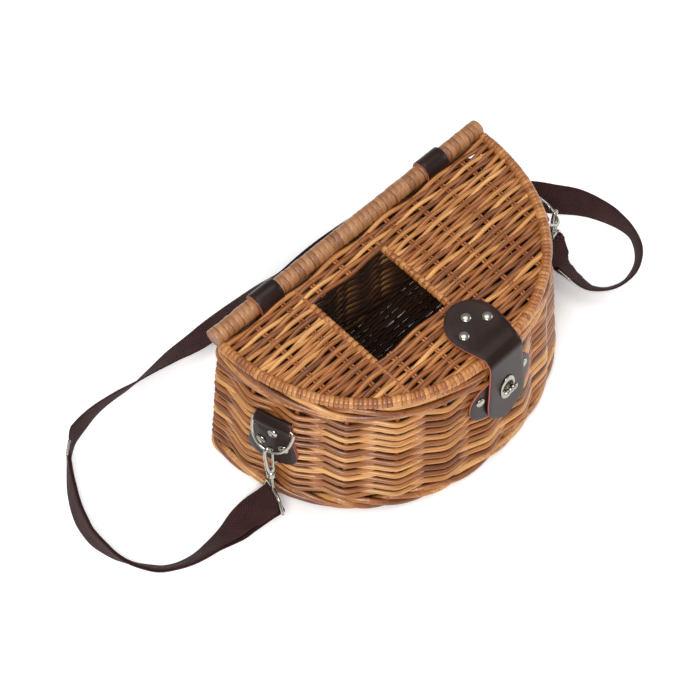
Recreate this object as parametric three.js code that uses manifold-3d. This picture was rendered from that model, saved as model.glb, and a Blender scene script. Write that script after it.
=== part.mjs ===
// A wicker fishing creel bag: D-shaped basket, hinged lid with a hole, leather closure flap with a
// turn lock, and a webbing shoulder strap clipped to two D rings. Millimetres, +Z up, flat back at
// +Y, round front at -Y, +X to the right. The origin is the middle of the underside.
import * as THREE from 'three';
import { mergeVertices } from 'three/addons/utils/BufferGeometryUtils.js';
import Module from 'manifold-3d';

const wasm = await Module();
wasm.setup();

// Clearance between pieces that touch on the real bag
const GAP = 0.3;

// Basket
const BASKET_HEIGHT = 180;
const BACK_Y = 114;
const BASE_HALF = 214.5;
const BASE_DEPTH = 228;
const TOP_HALF = 189.5;
const TOP_DEPTH = 208;
const ROUNDNESS = 2.15;
const CORNER_R = 14;
const WALL = 11;
const BORDER_PROUD = 2;
const FOOT_HEIGHT = 20;
const FOOT_WIDTH = 15;
const RIM_HEIGHT = 22;
const RIM_WIDTH = 13;
const BORDER_ROUND = 5;
const FLOOR_THICKNESS = 8;

// Lid
const LID_HALF = 190;
const LID_SHORT = 2;
const LID_DEPTH = TOP_DEPTH - LID_SHORT;
const EDGE_R = 5.5;
const PANEL_THICKNESS = 9;
const RAIL_R = 9.5;
const RAIL_LENGTH = 374;
const RAIL_Y = 112;
const HOLE_X = -40;
const HOLE_BACK = 37;
const HOLE_WIDTH = 94;
const HOLE_DEPTH = 92;

// Leather and hinge loops
const LEATHER = 2.6;
const LOOP_X = 117;
const LOOP_WIDTH = 30;
const NOTCH_SIDE = 1.5;
const NOTCH_DEPTH = 7.5;

// Closure flap, by half widths: the head lies on the lid and the tail hangs over the front
const FLAP_X = 7;
const FLAP_HEAD_LENGTH = 63.5;
const FLAP_HALF = 29.5;
const FLAP_BEND_R = 9.5;
const FLAP_TAIL_LENGTH = 102;
const RIVET_R = 5.6;
const RIVET_DOME = 2.6;
const RIVET_TABLE = [[0, 0], [0.92, 0], [1, 0.25], [0.7, 0.8], [0, 1]];
const FLAP_RIVET_BACK = 19;
const FLAP_RIVET_LOW = 32.5;
const FLAP_RIVET_PAIR = 33;

// Lock
const LOCK_BELOW_TOP = 47;
const LOCK_Z = BASKET_HEIGHT - LOCK_BELOW_TOP;
const LOCK_BASE_HALF = 47;
const LOCK_BASE_RISE = 30;
const LOCK_BASE_DROP = 6.5;
const LOCK_BASE_ROWS = [-0.985, -0.85, -0.6, -0.3, 0, 0.3, 0.6, 0.85, 0.985];
const LOCK_BASE_COLUMNS = [-1, -0.75, -0.5, -0.25, 0, 0.25, 0.5, 0.75, 1];
const LOCK_BASE_SQUARENESS = 2.4;
const LOCK_RIVET_SPREAD = 66;
const LOCK_RIVET_RISE = 2;
const LOCK_POST_R = 2.4;
const LOCK_FOOT_R = 8;
const LOCK_FOOT = 1.2;
const PLATE_LENGTH = 36;
const PLATE_WIDTH = 21;
const PLATE = 1.4;
const SLOT_LENGTH = 20;
const SLOT_WIDTH = 9.4;
const KNOB_LENGTH = 17;
const KNOB_WIDTH = 7;
const KNOB_HEIGHT = 5.5;
const KNOB_CORE = 0.8;

// Tabs, D rings and snap hooks
const TAB_BELOW_TOP = 75;
const TAB_Z = BASKET_HEIGHT - TAB_BELOW_TOP;
const TAB_TOP = 38;
const TAB_BOTTOM = 34;
const TAB_TOP_HALF = 19;
const TAB_NECK = 26;
const TAB_BOTTOM_HALF = 27;
const TAB_SEAM = 0.7;
const TAB_RIVET_RISE = 13;
const TAB_RIVET_LOW = 7;
const TAB_RIVET_PAIR = 25;
const TAB_END_TABLE = [[0, 0.62], [0.12, 0.84], [0.3, 0.96], [0.5, 1]];
const TAB_COLUMNS = [-1, -0.5, 0, 0.5, 1];
const FOLD_TAPER = 2.4;
const FOLD_BULGE = 1.6;
const FOLD_RISE = 0.6;
const D_WIRE_R = 1.7;
const D_HALF = 22.8;
const D_HEIGHT = 38;
const D_DROP = 9;
const D_BAR_TABLE = [-0.94, -0.47, 0, 0.47];
const D_BOW_POWER = 0.8;
const D_BOW_STEPS = 10;
const HOOK_WIRE_R = 2;
const HOOK_EYE_HALF = 8;
const HOOK_EYE_LENGTH = 38;
const HOOK_EYE_TABLE = [
  [0, 0], [0.75, 0.066], [1, 0.24], [0.9, 0.53], [0.7, 0.82], [0, 1], [-0.7, 0.82], [-0.9, 0.53], [-1, 0.24],
  [-0.75, 0.066],
];
const BARREL_R = 5;
const BARREL_LENGTH = 8;
const STEM_R = 2.4;
const STEM_HEAD_R = 3.8;
const STEM_HEAD = 2;
const STEM_HEAD_SEAT = 0.45;
const RING_WIRE_R = 1.8;
const RING_HALF = 21.5;
const RING_LENGTH = 17;
const RING_TABLE = [
  [-1, 0.06], [-0.93, 0], [0, 0], [0.93, 0], [1, 0.06], [0.7, 0.8], [0.3, 1], [-0.3, 1], [-0.7, 0.8],
];
const RING_SLOPE = 0.5;

// Strap
const STRAP_WIDTH = 38;
const STRAP = 1.8;
const SLIDER_HALF = 21.7;
const SLIDER_LENGTH = 20;
const SLIDER_WIRE = 2.4;

// Facets
const FRONT_STEPS = 40;
const CORNER_STEPS = 3;
const ROUND_STEPS = 12;
const WIRE_STEPS = 40;
const WIRE_SIDES = 8;
const LOOP_STEPS = 20;
const BEND_STEPS = 4;

// In the short tables above, a row's first column is a share of the length and its second a share of
// the half width, the radius or the height that the piece's own named sizes give.

// Each side's tab station on the outline, how far its D ring swings out in degrees, and where the
// strap ring's bar hangs; the right ring has turned a quarter on its swivel
const LEFT = {
  name: 'left', station: 2.793, swing: 14, bar: [-213, 5.5, 25], barDir: [-0.33, -0.944, 0], ringTurned: false,
};
const RIGHT = {
  name: 'right', station: 0.37, swing: 36, bar: [223, 17, 27.5], barDir: [0.97, 0.24, 0], ringTurned: true,
};

// The strap's route: middle of the webbing, and its roll in degrees about its own run, 0 lying
// flat and 90 standing on its edge with the raised edge over the floor
const STRAP_ROUTE_COLUMNS = { x: 0, y: 1, z: 2, roll: 3 };
const ROUTE_LEFT = [
  [-226, 10.5, 16.8, 7], [-236, 13, 13.2, 14], [-250, 13, 12.4, 24], [-264, 11, 13.8, 34],
  [-278, 11, 15.6, 43], [-292, 12, 17.2, 50], [-307, 13, 18, 55], [-321, 16, 18.3, 58], [-335, 22, 18.3, 61],
  [-347, 30, 18.3, 62], [-356, 41, 19, 65], [-364, 54, 19.5, 70], [-369, 67, 20, 77], [-372, 79, 20, 85],
  [-374, 92, 20, 91], [-375, 106, 20, 97], [-373, 119, 20, 102], [-370, 132, 20, 105], [-365, 145, 20, 106],
  [-359, 157, 20, 106], [-351, 171, 20.3, 104],
];
const ROUTE_MAIN = [
  [-318, 208.5, 20.5, 92], [-309, 212, 20.5, 92], [-294, 215, 20.5, 96], [-279, 217, 20.2, 102],
  [-264, 217, 20, 107], [-249, 216, 19.5, 110], [-234, 214, 19, 114], [-218, 213, 18.3, 120],
  [-202, 213, 16.8, 127], [-186, 213, 15.2, 135], [-171, 213, 13.4, 142], [-157, 212, 12, 148],
  [-141, 211, 10.8, 153], [-120, 211, 10, 156], [-95, 211, 11.5, 150], [-70, 211, 13.9, 140],
  [-42, 211, 16.6, 128], [-12, 209, 18.8, 115], [20, 206, 20, 104], [52, 202, 20.4, 96], [84, 197, 20.4, 90],
  [116, 189, 20.4, 85], [148, 178, 20.2, 80], [178, 164, 20, 75], [206, 146, 19.5, 71], [230, 125, 19, 67],
  [252, 100, 18.4, 64], [270, 78, 18.2, 62], [281, 62, 18.4, 64], [290, 50, 18.8, 68], [297, 39, 19.4, 74],
  [303, 25, 20.2, 82], [308, 8, 20.4, 89], [310.5, -5, 20.4, 94], [311, -17, 20.4, 99], [310, -28, 20.3, 101],
  [306, -38, 20.2, 98], [299, -49, 20.3, 92], [289, -59, 20.4, 84], [276, -66, 19.8, 76],
  [262, -69.5, 19, 69], [248, -68, 18.2, 62], [235, -63, 17.6, 56], [225, -54, 17.2, 51],
  [219, -43, 17.4, 47],
];
const ROUTE_RIGHT = [[217.9, -3.5, 20, 42], [219.3, 3.5, 21.6, 27]];

// Where each slider sits, which way the webbing runs through it, and its roll
const SLIDER_LEFT = { middle: [-335, 193.5, 22.4], heading: [0.72, 0.69, 0], roll: 98 };
const SLIDER_RIGHT = { middle: [217.4, -20.5, 18.8], heading: [0, 1, 0.05], roll: 45 };

// Materials
function paint(color, roughness, metalness = 0) {
  return new THREE.MeshStandardMaterial({ color, roughness, metalness });
}
const FINISH = {
  willow: paint(0xba8450, 0.65),
  rail: paint(0xa8704c, 0.6),
  leather: paint(0x342c2a, 0.45),
  webbing: paint(0x321f22, 0.9),
  nickel: paint(0xcdcdc3, 0.25, 1),
};

const group = new THREE.Group();

// Adds one named piece to a parent
function piece(name, geometry, material, parent = group) {
  const mesh = new THREE.Mesh(geometry, material);
  mesh.name = name;
  parent.add(mesh);
  return mesh;
}

// A closed solid for cutting and joining
function toSolid(geometry) {
  const plain = geometry.clone();
  plain.deleteAttribute('normal');
  plain.deleteAttribute('uv');
  const merged = mergeVertices(plain, 1e-4);
  return new wasm.Manifold(new wasm.Mesh({
    numProp: 3,
    vertProperties: new Float32Array(merged.attributes.position.array),
    triVerts: new Uint32Array(merged.index.array),
  }));
}

// Back from a solid to a drawable geometry
function toGeometry(solid) {
  const mesh = solid.getMesh();
  const geometry = new THREE.BufferGeometry();
  geometry.setAttribute('position', new THREE.BufferAttribute(new Float32Array(mesh.vertProperties), 3));
  geometry.setIndex(new THREE.BufferAttribute(new Uint32Array(mesh.triVerts), 1));
  return geometry;
}

// A geometry from rows of points of equal count; a closed grid joins its last row to its first,
// and an open one gets flat ends. Each face is split along its shorter diagonal, so both sides of a
// twisted sheet are split alike
function gridGeometry(rows, closedRows) {
  const across = rows[0].length;
  const points = rows.flat();
  const index = [];
  const strips = closedRows ? rows.length : rows.length - 1;
  for (let i = 0; i < strips; i += 1) {
    const a = i * across;
    const b = ((i + 1) % rows.length) * across;
    for (let j = 0; j < across; j += 1) {
      const k = (j + 1) % across;
      const [p, q, r, s] = [a + j, a + k, b + k, b + j];
      if (points[p].distanceTo(points[r]) <= points[q].distanceTo(points[s])) {
        index.push(p, q, r, p, r, s);
      } else {
        index.push(p, q, s, q, r, s);
      }
    }
  }
  if (!closedRows) {
    const last = (rows.length - 1) * across;
    for (let j = 1; j < across - 1; j += 1) {
      index.push(0, j + 1, j, last, last + j, last + j + 1);
    }
  }
  const geometry = new THREE.BufferGeometry();
  const flat = points.flatMap((p) => [p.x, p.y, p.z]);
  geometry.setAttribute('position', new THREE.BufferAttribute(new Float32Array(flat), 3));
  geometry.setIndex(index);
  const solid = toSolid(geometry);
  if (solid.volume() > 0) {
    return geometry;
  }
  const turned = [];
  for (let t = 0; t < index.length; t += 3) {
    turned.push(index[t], index[t + 2], index[t + 1]);
  }
  geometry.setIndex(turned);
  return geometry;
}

const mix = (a, b, share) => a + (b - a) * share;
const signedPower = (value, power) => Math.sign(value) * Math.abs(value) ** power;

// A point of the D outline: right corner at u 0, front at u half pi, left corner at u pi
function frontPoint(half, depth, backY, u) {
  const x = half * signedPower(Math.cos(u), 2 / ROUNDNESS);
  const y = backY - CORNER_R - (depth - CORNER_R) * Math.abs(Math.sin(u)) ** (2 / ROUNDNESS);
  return new THREE.Vector2(x, y);
}

// The whole D outline with its round back corners, running right corner, front, left corner, back
function dOutline(half, depth, backY) {
  const points = [];
  for (let i = 0; i <= FRONT_STEPS; i += 1) {
    points.push(frontPoint(half, depth, backY, (Math.PI * i) / FRONT_STEPS));
  }
  for (const side of [-1, 1]) {
    for (let i = 0; i < CORNER_STEPS; i += 1) {
      const share = side < 0 ? i + 1 : i;
      const angle = (Math.PI / 2) * (share / CORNER_STEPS);
      const turn = side < 0 ? angle : Math.PI / 2 - angle;
      const x = side * (half - CORNER_R + CORNER_R * Math.cos(turn));
      const y = backY - CORNER_R + CORNER_R * Math.sin(turn);
      points.push(new THREE.Vector2(x, y));
    }
  }
  return points;
}

// The basket's sizes at a height, drawn in by an inset
function basketHalf(z) {
  return mix(BASE_HALF, TOP_HALF, z / BASKET_HEIGHT);
}
function basketDepth(z) {
  return mix(BASE_DEPTH, TOP_DEPTH, z / BASKET_HEIGHT);
}
function basketOutline(z, inset) {
  return dOutline(basketHalf(z) - inset, basketDepth(z) - 2 * inset, BACK_Y - inset)
    .map((p) => new THREE.Vector3(p.x, p.y, z));
}

// A ring of the basket from its section, rows of inset and height
function basketRing(section) {
  return gridGeometry(section.map(([inset, z]) => basketOutline(z, inset)), true);
}

// A section with its outer corners rounded
function borderSection(width, z0, z1) {
  const proud = -BORDER_PROUD;
  const third = BORDER_ROUND / 3;
  return [
    [proud + BORDER_ROUND, z0], [proud + third, z0 + third], [proud, z0 + BORDER_ROUND],
    [proud, z1 - BORDER_ROUND], [proud + third, z1 - third], [proud + BORDER_ROUND, z1],
    [proud + width, z1], [proud + width, z0],
  ];
}

// The wall's outer face at a station of the outline and a height, with its outward direction
function wallFrame(u, z) {
  const step = 0.001;
  const at = (v) => frontPoint(basketHalf(z), basketDepth(z), BACK_Y, v);
  const here = at(u);
  const before = at(u - step);
  const after = at(u + step);
  const along = new THREE.Vector3(before.x - after.x, before.y - after.y, 0);
  const speed = along.length() / (2 * step);
  along.normalize();
  const above = frontPoint(basketHalf(z + 1), basketDepth(z + 1), BACK_Y, u);
  const rise = new THREE.Vector3(above.x - here.x, above.y - here.y, 1).normalize();
  const out = new THREE.Vector3().crossVectors(along, rise).normalize();
  return { point: new THREE.Vector3(here.x, here.y, z), along, rise, out, speed };
}

// A bent sheet: each station has its row of middle points and a matching row of face directions
function sheetGeometry(stations, thickness) {
  const rows = stations.map(({ points, faces }) => {
    const outer = points.map((p, i) => p.clone().addScaledVector(faces[i], thickness / 2));
    const inner = points.map((p, i) => p.clone().addScaledVector(faces[i], -thickness / 2));
    return [...outer, ...inner.reverse()];
  });
  return gridGeometry(rows, false);
}

// Basket body
const RIM_BOTTOM = BASKET_HEIGHT - RIM_HEIGHT;
const WALL_BOTTOM = FOOT_HEIGHT + GAP;
const WALL_TOP = RIM_BOTTOM - GAP;
const RAIL_Z = BASKET_HEIGHT + GAP + RAIL_R;
const EDGE_Z = BASKET_HEIGHT + GAP + EDGE_R;
const PANEL_Z = BASKET_HEIGHT + GAP;
const LID_TOP = PANEL_Z + PANEL_THICKNESS;

// The convex section of a hinge loop: it wraps the rail above and the rim below at an offset
function loopSection(offset) {
  const rimBack = BACK_Y + BORDER_PROUD - BORDER_ROUND;
  const rimFront = rimBack + BORDER_ROUND - RIM_WIDTH;
  const balls = [
    { y: RAIL_Y, z: RAIL_Z, r: RAIL_R },
    { y: rimBack, z: RIM_BOTTOM + BORDER_ROUND, r: BORDER_ROUND },
    { y: rimFront, z: RIM_BOTTOM, r: 0 },
    { y: rimFront, z: BASKET_HEIGHT, r: 0 },
  ];
  const points = [];
  for (let i = 0; i < LOOP_STEPS; i += 1) {
    const angle = (2 * Math.PI * i) / LOOP_STEPS;
    const dir = [Math.cos(angle), Math.sin(angle)];
    const reach = (ball) => ball.y * dir[0] + ball.z * dir[1] + ball.r;
    const best = balls.reduce((a, b) => (reach(b) > reach(a) ? b : a));
    const r = best.r + offset;
    points.push([best.y + r * dir[0], best.z + r * dir[1]]);
  }
  return points;
}

// One leather hinge loop
function hingeLoop(centreX) {
  const rows = [];
  const inner = loopSection(GAP);
  const outer = loopSection(GAP + LEATHER);
  const x0 = centreX - LOOP_WIDTH / 2;
  const x1 = centreX + LOOP_WIDTH / 2;
  for (let i = 0; i < inner.length; i += 1) {
    rows.push([
      new THREE.Vector3(x0, ...inner[i]), new THREE.Vector3(x1, ...inner[i]),
      new THREE.Vector3(x1, ...outer[i]), new THREE.Vector3(x0, ...outer[i]),
    ]);
  }
  return gridGeometry(rows, true);
}

function buildBasket() {
  const wall = basketRing([
    [0, WALL_BOTTOM], [0, mix(WALL_BOTTOM, WALL_TOP, 0.5)], [0, WALL_TOP],
    [WALL, WALL_TOP], [WALL, mix(WALL_BOTTOM, WALL_TOP, 0.5)], [WALL, WALL_BOTTOM],
  ]);
  let wallSolid = toSolid(wall);
  for (const side of [-1, 1]) {
    const slot = new THREE.BoxGeometry(LOOP_WIDTH + 2 * GAP, WALL * 3, 2 * (LEATHER + GAP));
    slot.translate(side * LOOP_X, BACK_Y - WALL / 2, WALL_TOP);
    wallSolid = wallSolid.subtract(toSolid(slot));
  }
  piece('basket_wall', toGeometry(wallSolid), FINISH.willow);
  piece('rim_border', basketRing(borderSection(RIM_WIDTH, RIM_BOTTOM, BASKET_HEIGHT)), FINISH.willow);
  piece('foot_border', basketRing(borderSection(FOOT_WIDTH, 0, FOOT_HEIGHT)), FINISH.willow);

  const floorInset = FOOT_WIDTH - BORDER_PROUD + GAP;
  const floorRows = [0, FLOOR_THICKNESS].map((z) => basketOutline(z, floorInset));
  piece('basket_floor', gridGeometry(floorRows, false), FINISH.willow);

  piece('hinge_loop_left', hingeLoop(-LOOP_X), FINISH.leather);
  piece('hinge_loop_right', hingeLoop(LOOP_X), FINISH.leather);
}

// A domed rivet head standing on a face
function rivet(name, point, out, parent = group) {
  const profile = RIVET_TABLE.map(([r, h]) => new THREE.Vector2(r * RIVET_R, h * RIVET_DOME));
  const mesh = piece(name, new THREE.LatheGeometry(profile, ROUND_STEPS), FINISH.nickel, parent);
  mesh.quaternion.setFromUnitVectors(new THREE.Vector3(0, 1, 0), out);
  mesh.position.copy(point).addScaledVector(out, GAP);
}

// The tab: leather folded over the D ring's bar, its run given as rows of distance from the wall,
// height above the tab's middle and half width
function tabRun() {
  const low = GAP + LEATHER / 2;
  const fold = D_WIRE_R + GAP + LEATHER / 2;
  const barOut = low + LEATHER / 2 + GAP + D_WIRE_R;
  const barZ = TAB_TOP - D_DROP;
  const outer = low + LEATHER + TAB_SEAM;
  const spread = (z) => (TAB_TOP - TAB_NECK - z) / TAB_NECK;
  const halfAt = (z) => mix(TAB_TOP_HALF, TAB_BOTTOM_HALF, Math.min(1, Math.max(0, spread(z))));
  const rows = [];
  const end = TAB_END_TABLE.map(([rise, share]) => {
    const z = -TAB_BOTTOM * (1 - rise);
    return [z, halfAt(z) * share];
  });
  rows.push(...end.map(([z, half]) => [low, z, half]));
  rows.push([low, TAB_TOP - TAB_NECK, TAB_TOP_HALF]);
  rows.push([low, barZ - fold * FOLD_TAPER, TAB_TOP_HALF]);
  rows.push([low, barZ, TAB_TOP_HALF]);
  rows.push([low + LEATHER * 0.15, TAB_TOP - LEATHER * 1.15, TAB_TOP_HALF]);
  rows.push([low + LEATHER * 0.75, TAB_TOP - LEATHER * 0.23, TAB_TOP_HALF]);
  rows.push([low + LEATHER * 2, TAB_TOP - LEATHER * 1.15, TAB_TOP_HALF]);
  rows.push([barOut + fold * FOLD_BULGE, barZ + fold * FOLD_RISE, TAB_TOP_HALF]);
  rows.push([barOut + fold * FOLD_BULGE, barZ - fold * FOLD_RISE, TAB_TOP_HALF]);
  rows.push([outer, barZ - fold * FOLD_TAPER, TAB_TOP_HALF]);
  rows.push([outer, TAB_TOP - TAB_NECK, TAB_TOP_HALF]);
  rows.push(...end.reverse().map(([z, half]) => [outer, z, half]));
  return { rows, barOut, barZ, face: outer + LEATHER / 2 };
}

// A place on the wall beside a station: across along the wall, up the wall, and out from it
function tabPlace(side, across, up, out) {
  const middle = wallFrame(side.station, TAB_Z);
  const frame = wallFrame(side.station - across / middle.speed, TAB_Z);
  return {
    point: frame.point.clone().addScaledVector(frame.rise, up).addScaledVector(frame.out, out),
    out: frame.out,
    rise: frame.rise,
    along: frame.along,
  };
}

function buildTab(side) {
  const { rows, barOut, barZ, face } = tabRun();
  const stations = rows.map(([out, up, half], i) => {
    const before = rows[Math.max(0, i - 1)];
    const after = rows[Math.min(rows.length - 1, i + 1)];
    const run = new THREE.Vector2(after[0] - before[0], after[1] - before[1]).normalize();
    const places = TAB_COLUMNS.map((share) => tabPlace(side, share * half, up, out));
    return {
      points: places.map((p) => p.point),
      faces: places.map((p) => p.out.clone().multiplyScalar(run.y).addScaledVector(p.rise, -run.x)),
    };
  });
  piece(`tab_${side.name}`, sheetGeometry(stations, LEATHER), FINISH.leather);
  const reach = TAB_RIVET_PAIR / 2;
  const rivets = [[0, TAB_RIVET_RISE], [-reach, -TAB_RIVET_LOW], [reach, -TAB_RIVET_LOW]];
  rivets.forEach(([across, up], i) => {
    const seat = tabPlace(side, across, up, face);
    rivet(`tab_rivet_${side.name}_${i + 1}`, seat.point, seat.out);
  });
  return tabPlace(side, 0, barZ, barOut);
}

// The D ring hangs from its straight bar and swings out from the wall
function buildDRing(side, bar) {
  const lean = THREE.MathUtils.degToRad(side.swing);
  const down = bar.rise.clone().multiplyScalar(-Math.cos(lean)).addScaledVector(bar.out, Math.sin(lean));
  const points = [];
  for (const share of D_BAR_TABLE) {
    points.push(bar.point.clone().addScaledVector(bar.along, share * D_HALF));
  }
  for (let i = 0; i <= D_BOW_STEPS; i += 1) {
    const angle = (Math.PI * i) / D_BOW_STEPS;
    const drop = D_WIRE_R * 2 + (D_HEIGHT - 2 * D_WIRE_R) * Math.sin(angle) ** D_BOW_POWER;
    const level = bar.point.clone().addScaledVector(bar.along, D_HALF * Math.cos(angle));
    points.push(level.addScaledVector(down, drop));
  }
  const curve = new THREE.CatmullRomCurve3(points, true, 'centripetal');
  const ring = new THREE.TubeGeometry(curve, WIRE_STEPS, D_WIRE_R, WIRE_SIDES, true);
  piece(`d_ring_${side.name}`, ring, FINISH.nickel);
  return bar.point.clone().addScaledVector(down, D_HEIGHT);
}

// A closed wire through a table's shares of a half width across and a length along
function wireLoop(origin, across, half, along, length, table, radius) {
  const path = table.map(([a, b]) => {
    const beside = origin.clone().addScaledVector(across, a * half);
    return beside.addScaledVector(along, b * length);
  });
  const curve = new THREE.CatmullRomCurve3(path, true, 'centripetal');
  return new THREE.TubeGeometry(curve, WIRE_STEPS, radius, WIRE_SIDES, true);
}

// A turned piece whose axis runs from a point along a direction
function turned(profile, origin, axis) {
  const geometry = new THREE.LatheGeometry(profile.map(([r, h]) => new THREE.Vector2(r, h)), ROUND_STEPS);
  const turn = new THREE.Quaternion().setFromUnitVectors(new THREE.Vector3(0, 1, 0), axis);
  geometry.applyQuaternion(turn);
  geometry.translate(origin.x, origin.y, origin.z);
  return geometry;
}

// The snap hook: its eye closes round the D ring's bow, its barrel carries the strap ring's stem
function buildHook(side, ringBow) {
  const barMiddle = new THREE.Vector3(...side.bar);
  const up = ringBow.clone().sub(barMiddle).normalize();
  const barDir = new THREE.Vector3(...side.barDir);
  barDir.addScaledVector(up, -barDir.dot(up)).normalize();
  const cross = new THREE.Vector3().crossVectors(up, barDir).normalize();
  const eyeTop = ringBow.clone().addScaledVector(up, D_WIRE_R + GAP + HOOK_WIRE_R);
  const barrelTop = eyeTop.clone().addScaledVector(up, -HOOK_EYE_LENGTH);
  const eyeAcross = side.ringTurned ? barDir : cross;
  const eye = wireLoop(eyeTop, eyeAcross, HOOK_EYE_HALF, up, -HOOK_EYE_LENGTH, HOOK_EYE_TABLE, HOOK_WIRE_R);
  const bore = STEM_R + GAP;
  const barrelBase = barrelTop.clone().addScaledVector(up, -BARREL_LENGTH + HOOK_WIRE_R);
  const barrelProfile = [[0, 0], [BARREL_R, 0], [BARREL_R, BARREL_LENGTH], [0, BARREL_LENGTH]];
  const barrel = toSolid(turned(barrelProfile, barrelBase, up));
  const headRoom = STEM_HEAD_R + GAP;
  const headZ = BARREL_LENGTH * STEM_HEAD_SEAT;
  const socket = toSolid(turned([[0, -1], [bore, -1], [bore, headZ], [headRoom, headZ],
    [headRoom, BARREL_LENGTH * 2], [0, BARREL_LENGTH * 2]], barrelBase, up));
  piece(`snap_hook_${side.name}`, toGeometry(toSolid(eye).add(barrel).subtract(socket)), FINISH.nickel);

  const ringTop = barMiddle.clone().addScaledVector(up, RING_LENGTH);
  const ring = toSolid(wireLoop(barMiddle, barDir, RING_HALF, up, RING_LENGTH, RING_TABLE, RING_WIRE_R));
  const reach = barrelBase.distanceTo(ringTop);
  const headBase = reach + headZ + GAP;
  const stem = toSolid(turned([[0, 0], [STEM_R, 0], [STEM_R, headBase], [STEM_HEAD_R, headBase],
    [STEM_HEAD_R, headBase + STEM_HEAD], [0, headBase + STEM_HEAD]], ringTop, up));
  piece(`strap_ring_${side.name}`, toGeometry(ring.add(stem)), FINISH.nickel);
  return { barMiddle, barDir };
}

// Closure: the wall leather, its rivets and the lock
const LOCK_U = Math.acos(signedPower(FLAP_X / basketHalf(LOCK_Z), ROUNDNESS / 2));

function lockPlace(across, up, out) {
  const middle = wallFrame(LOCK_U, LOCK_Z);
  const frame = wallFrame(LOCK_U - across / middle.speed, LOCK_Z);
  return {
    point: frame.point.clone().addScaledVector(frame.rise, up).addScaledVector(frame.out, out),
    out: frame.out,
    rise: frame.rise,
    along: frame.along,
  };
}

// A flat plate of a shape with a hole, placed on the wall with its outward face at out + thickness
function wallPlate(shape, place, thickness) {
  const settings = { depth: thickness, bevelEnabled: false, curveSegments: 10 };
  const geometry = new THREE.ExtrudeGeometry(shape, settings);
  const basis = new THREE.Matrix4().makeBasis(place.along, place.rise, place.out);
  basis.setPosition(place.point);
  geometry.applyMatrix4(basis);
  return geometry;
}

function ellipsePath(kind, halfX, halfY) {
  const path = new kind();
  path.absellipse(0, 0, halfX, halfY, 0, 2 * Math.PI, false);
  return path;
}

const TAIL_INNER = GAP * 2 + LEATHER + LOCK_FOOT + GAP;
const TAIL_OUTER = TAIL_INNER + LEATHER;
const PLATE_INNER = TAIL_OUTER + GAP;
const KNOB_INNER = PLATE_INNER + PLATE + GAP;

function buildLockBase() {
  const stations = LOCK_BASE_ROWS.map((share) => {
    const half = LOCK_BASE_HALF * (1 - Math.abs(share) ** LOCK_BASE_SQUARENESS) ** (1 / LOCK_BASE_SQUARENESS);
    const up = share * LOCK_BASE_RISE - LOCK_BASE_DROP;
    const places = LOCK_BASE_COLUMNS.map((column) => lockPlace(column * half, up, GAP + LEATHER / 2));
    return { points: places.map((p) => p.point), faces: places.map((p) => p.out) };
  });
  piece('lock_base', sheetGeometry(stations, LEATHER), FINISH.leather);
  for (const [name, share] of [['lock_rivet_left', -0.5], ['lock_rivet_right', 0.5]]) {
    const seat = lockPlace(share * LOCK_RIVET_SPREAD, LOCK_RIVET_RISE, GAP + LEATHER);
    rivet(name, seat.point, seat.out);
  }
  const foot = lockPlace(0, 0, GAP * 2 + LEATHER);
  const postTop = KNOB_INNER + KNOB_HEIGHT - GAP * 2 - LEATHER - KNOB_CORE;
  piece('lock_post', turned([[0, 0], [LOCK_FOOT_R, 0], [LOCK_FOOT_R, LOCK_FOOT], [LOCK_POST_R, LOCK_FOOT],
    [LOCK_POST_R, postTop], [0, postTop]], foot.point, foot.out), FINISH.nickel);

  const seat = lockPlace(0, 0, KNOB_INNER);
  const bar = new THREE.Shape();
  const flat = KNOB_LENGTH / 2 - KNOB_WIDTH / 2;
  bar.moveTo(-flat, -KNOB_WIDTH / 2);
  bar.lineTo(flat, -KNOB_WIDTH / 2);
  bar.absarc(flat, 0, KNOB_WIDTH / 2, -Math.PI / 2, Math.PI / 2, false);
  bar.lineTo(-flat, KNOB_WIDTH / 2);
  bar.absarc(-flat, 0, KNOB_WIDTH / 2, Math.PI / 2, 1.5 * Math.PI, false);
  const knob = toSolid(wallPlate(bar, seat, KNOB_HEIGHT));
  const bore = LOCK_POST_R + GAP;
  const socket = toSolid(turned([[0, -1], [bore, -1], [bore, KNOB_HEIGHT - KNOB_CORE + GAP],
    [0, KNOB_HEIGHT - KNOB_CORE + GAP]], seat.point, seat.out));
  piece('lock_knob', toGeometry(knob.subtract(socket)), FINISH.nickel);
}

// The lid, on its own group: its pieces turn together about the rail
const lid = new THREE.Group();
group.add(lid);

const LID_BACK = RAIL_Y - RAIL_R - GAP;
const lidFrontDepth = (inset) => LID_DEPTH - (RAIL_Y - LID_BACK) - inset;

function lidFront(inset, u) {
  const x = (LID_HALF - inset) * signedPower(Math.cos(u), 2 / ROUNDNESS);
  const y = LID_BACK - lidFrontDepth(inset) * Math.abs(Math.sin(u)) ** (2 / ROUNDNESS);
  return new THREE.Vector2(x, y);
}

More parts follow.
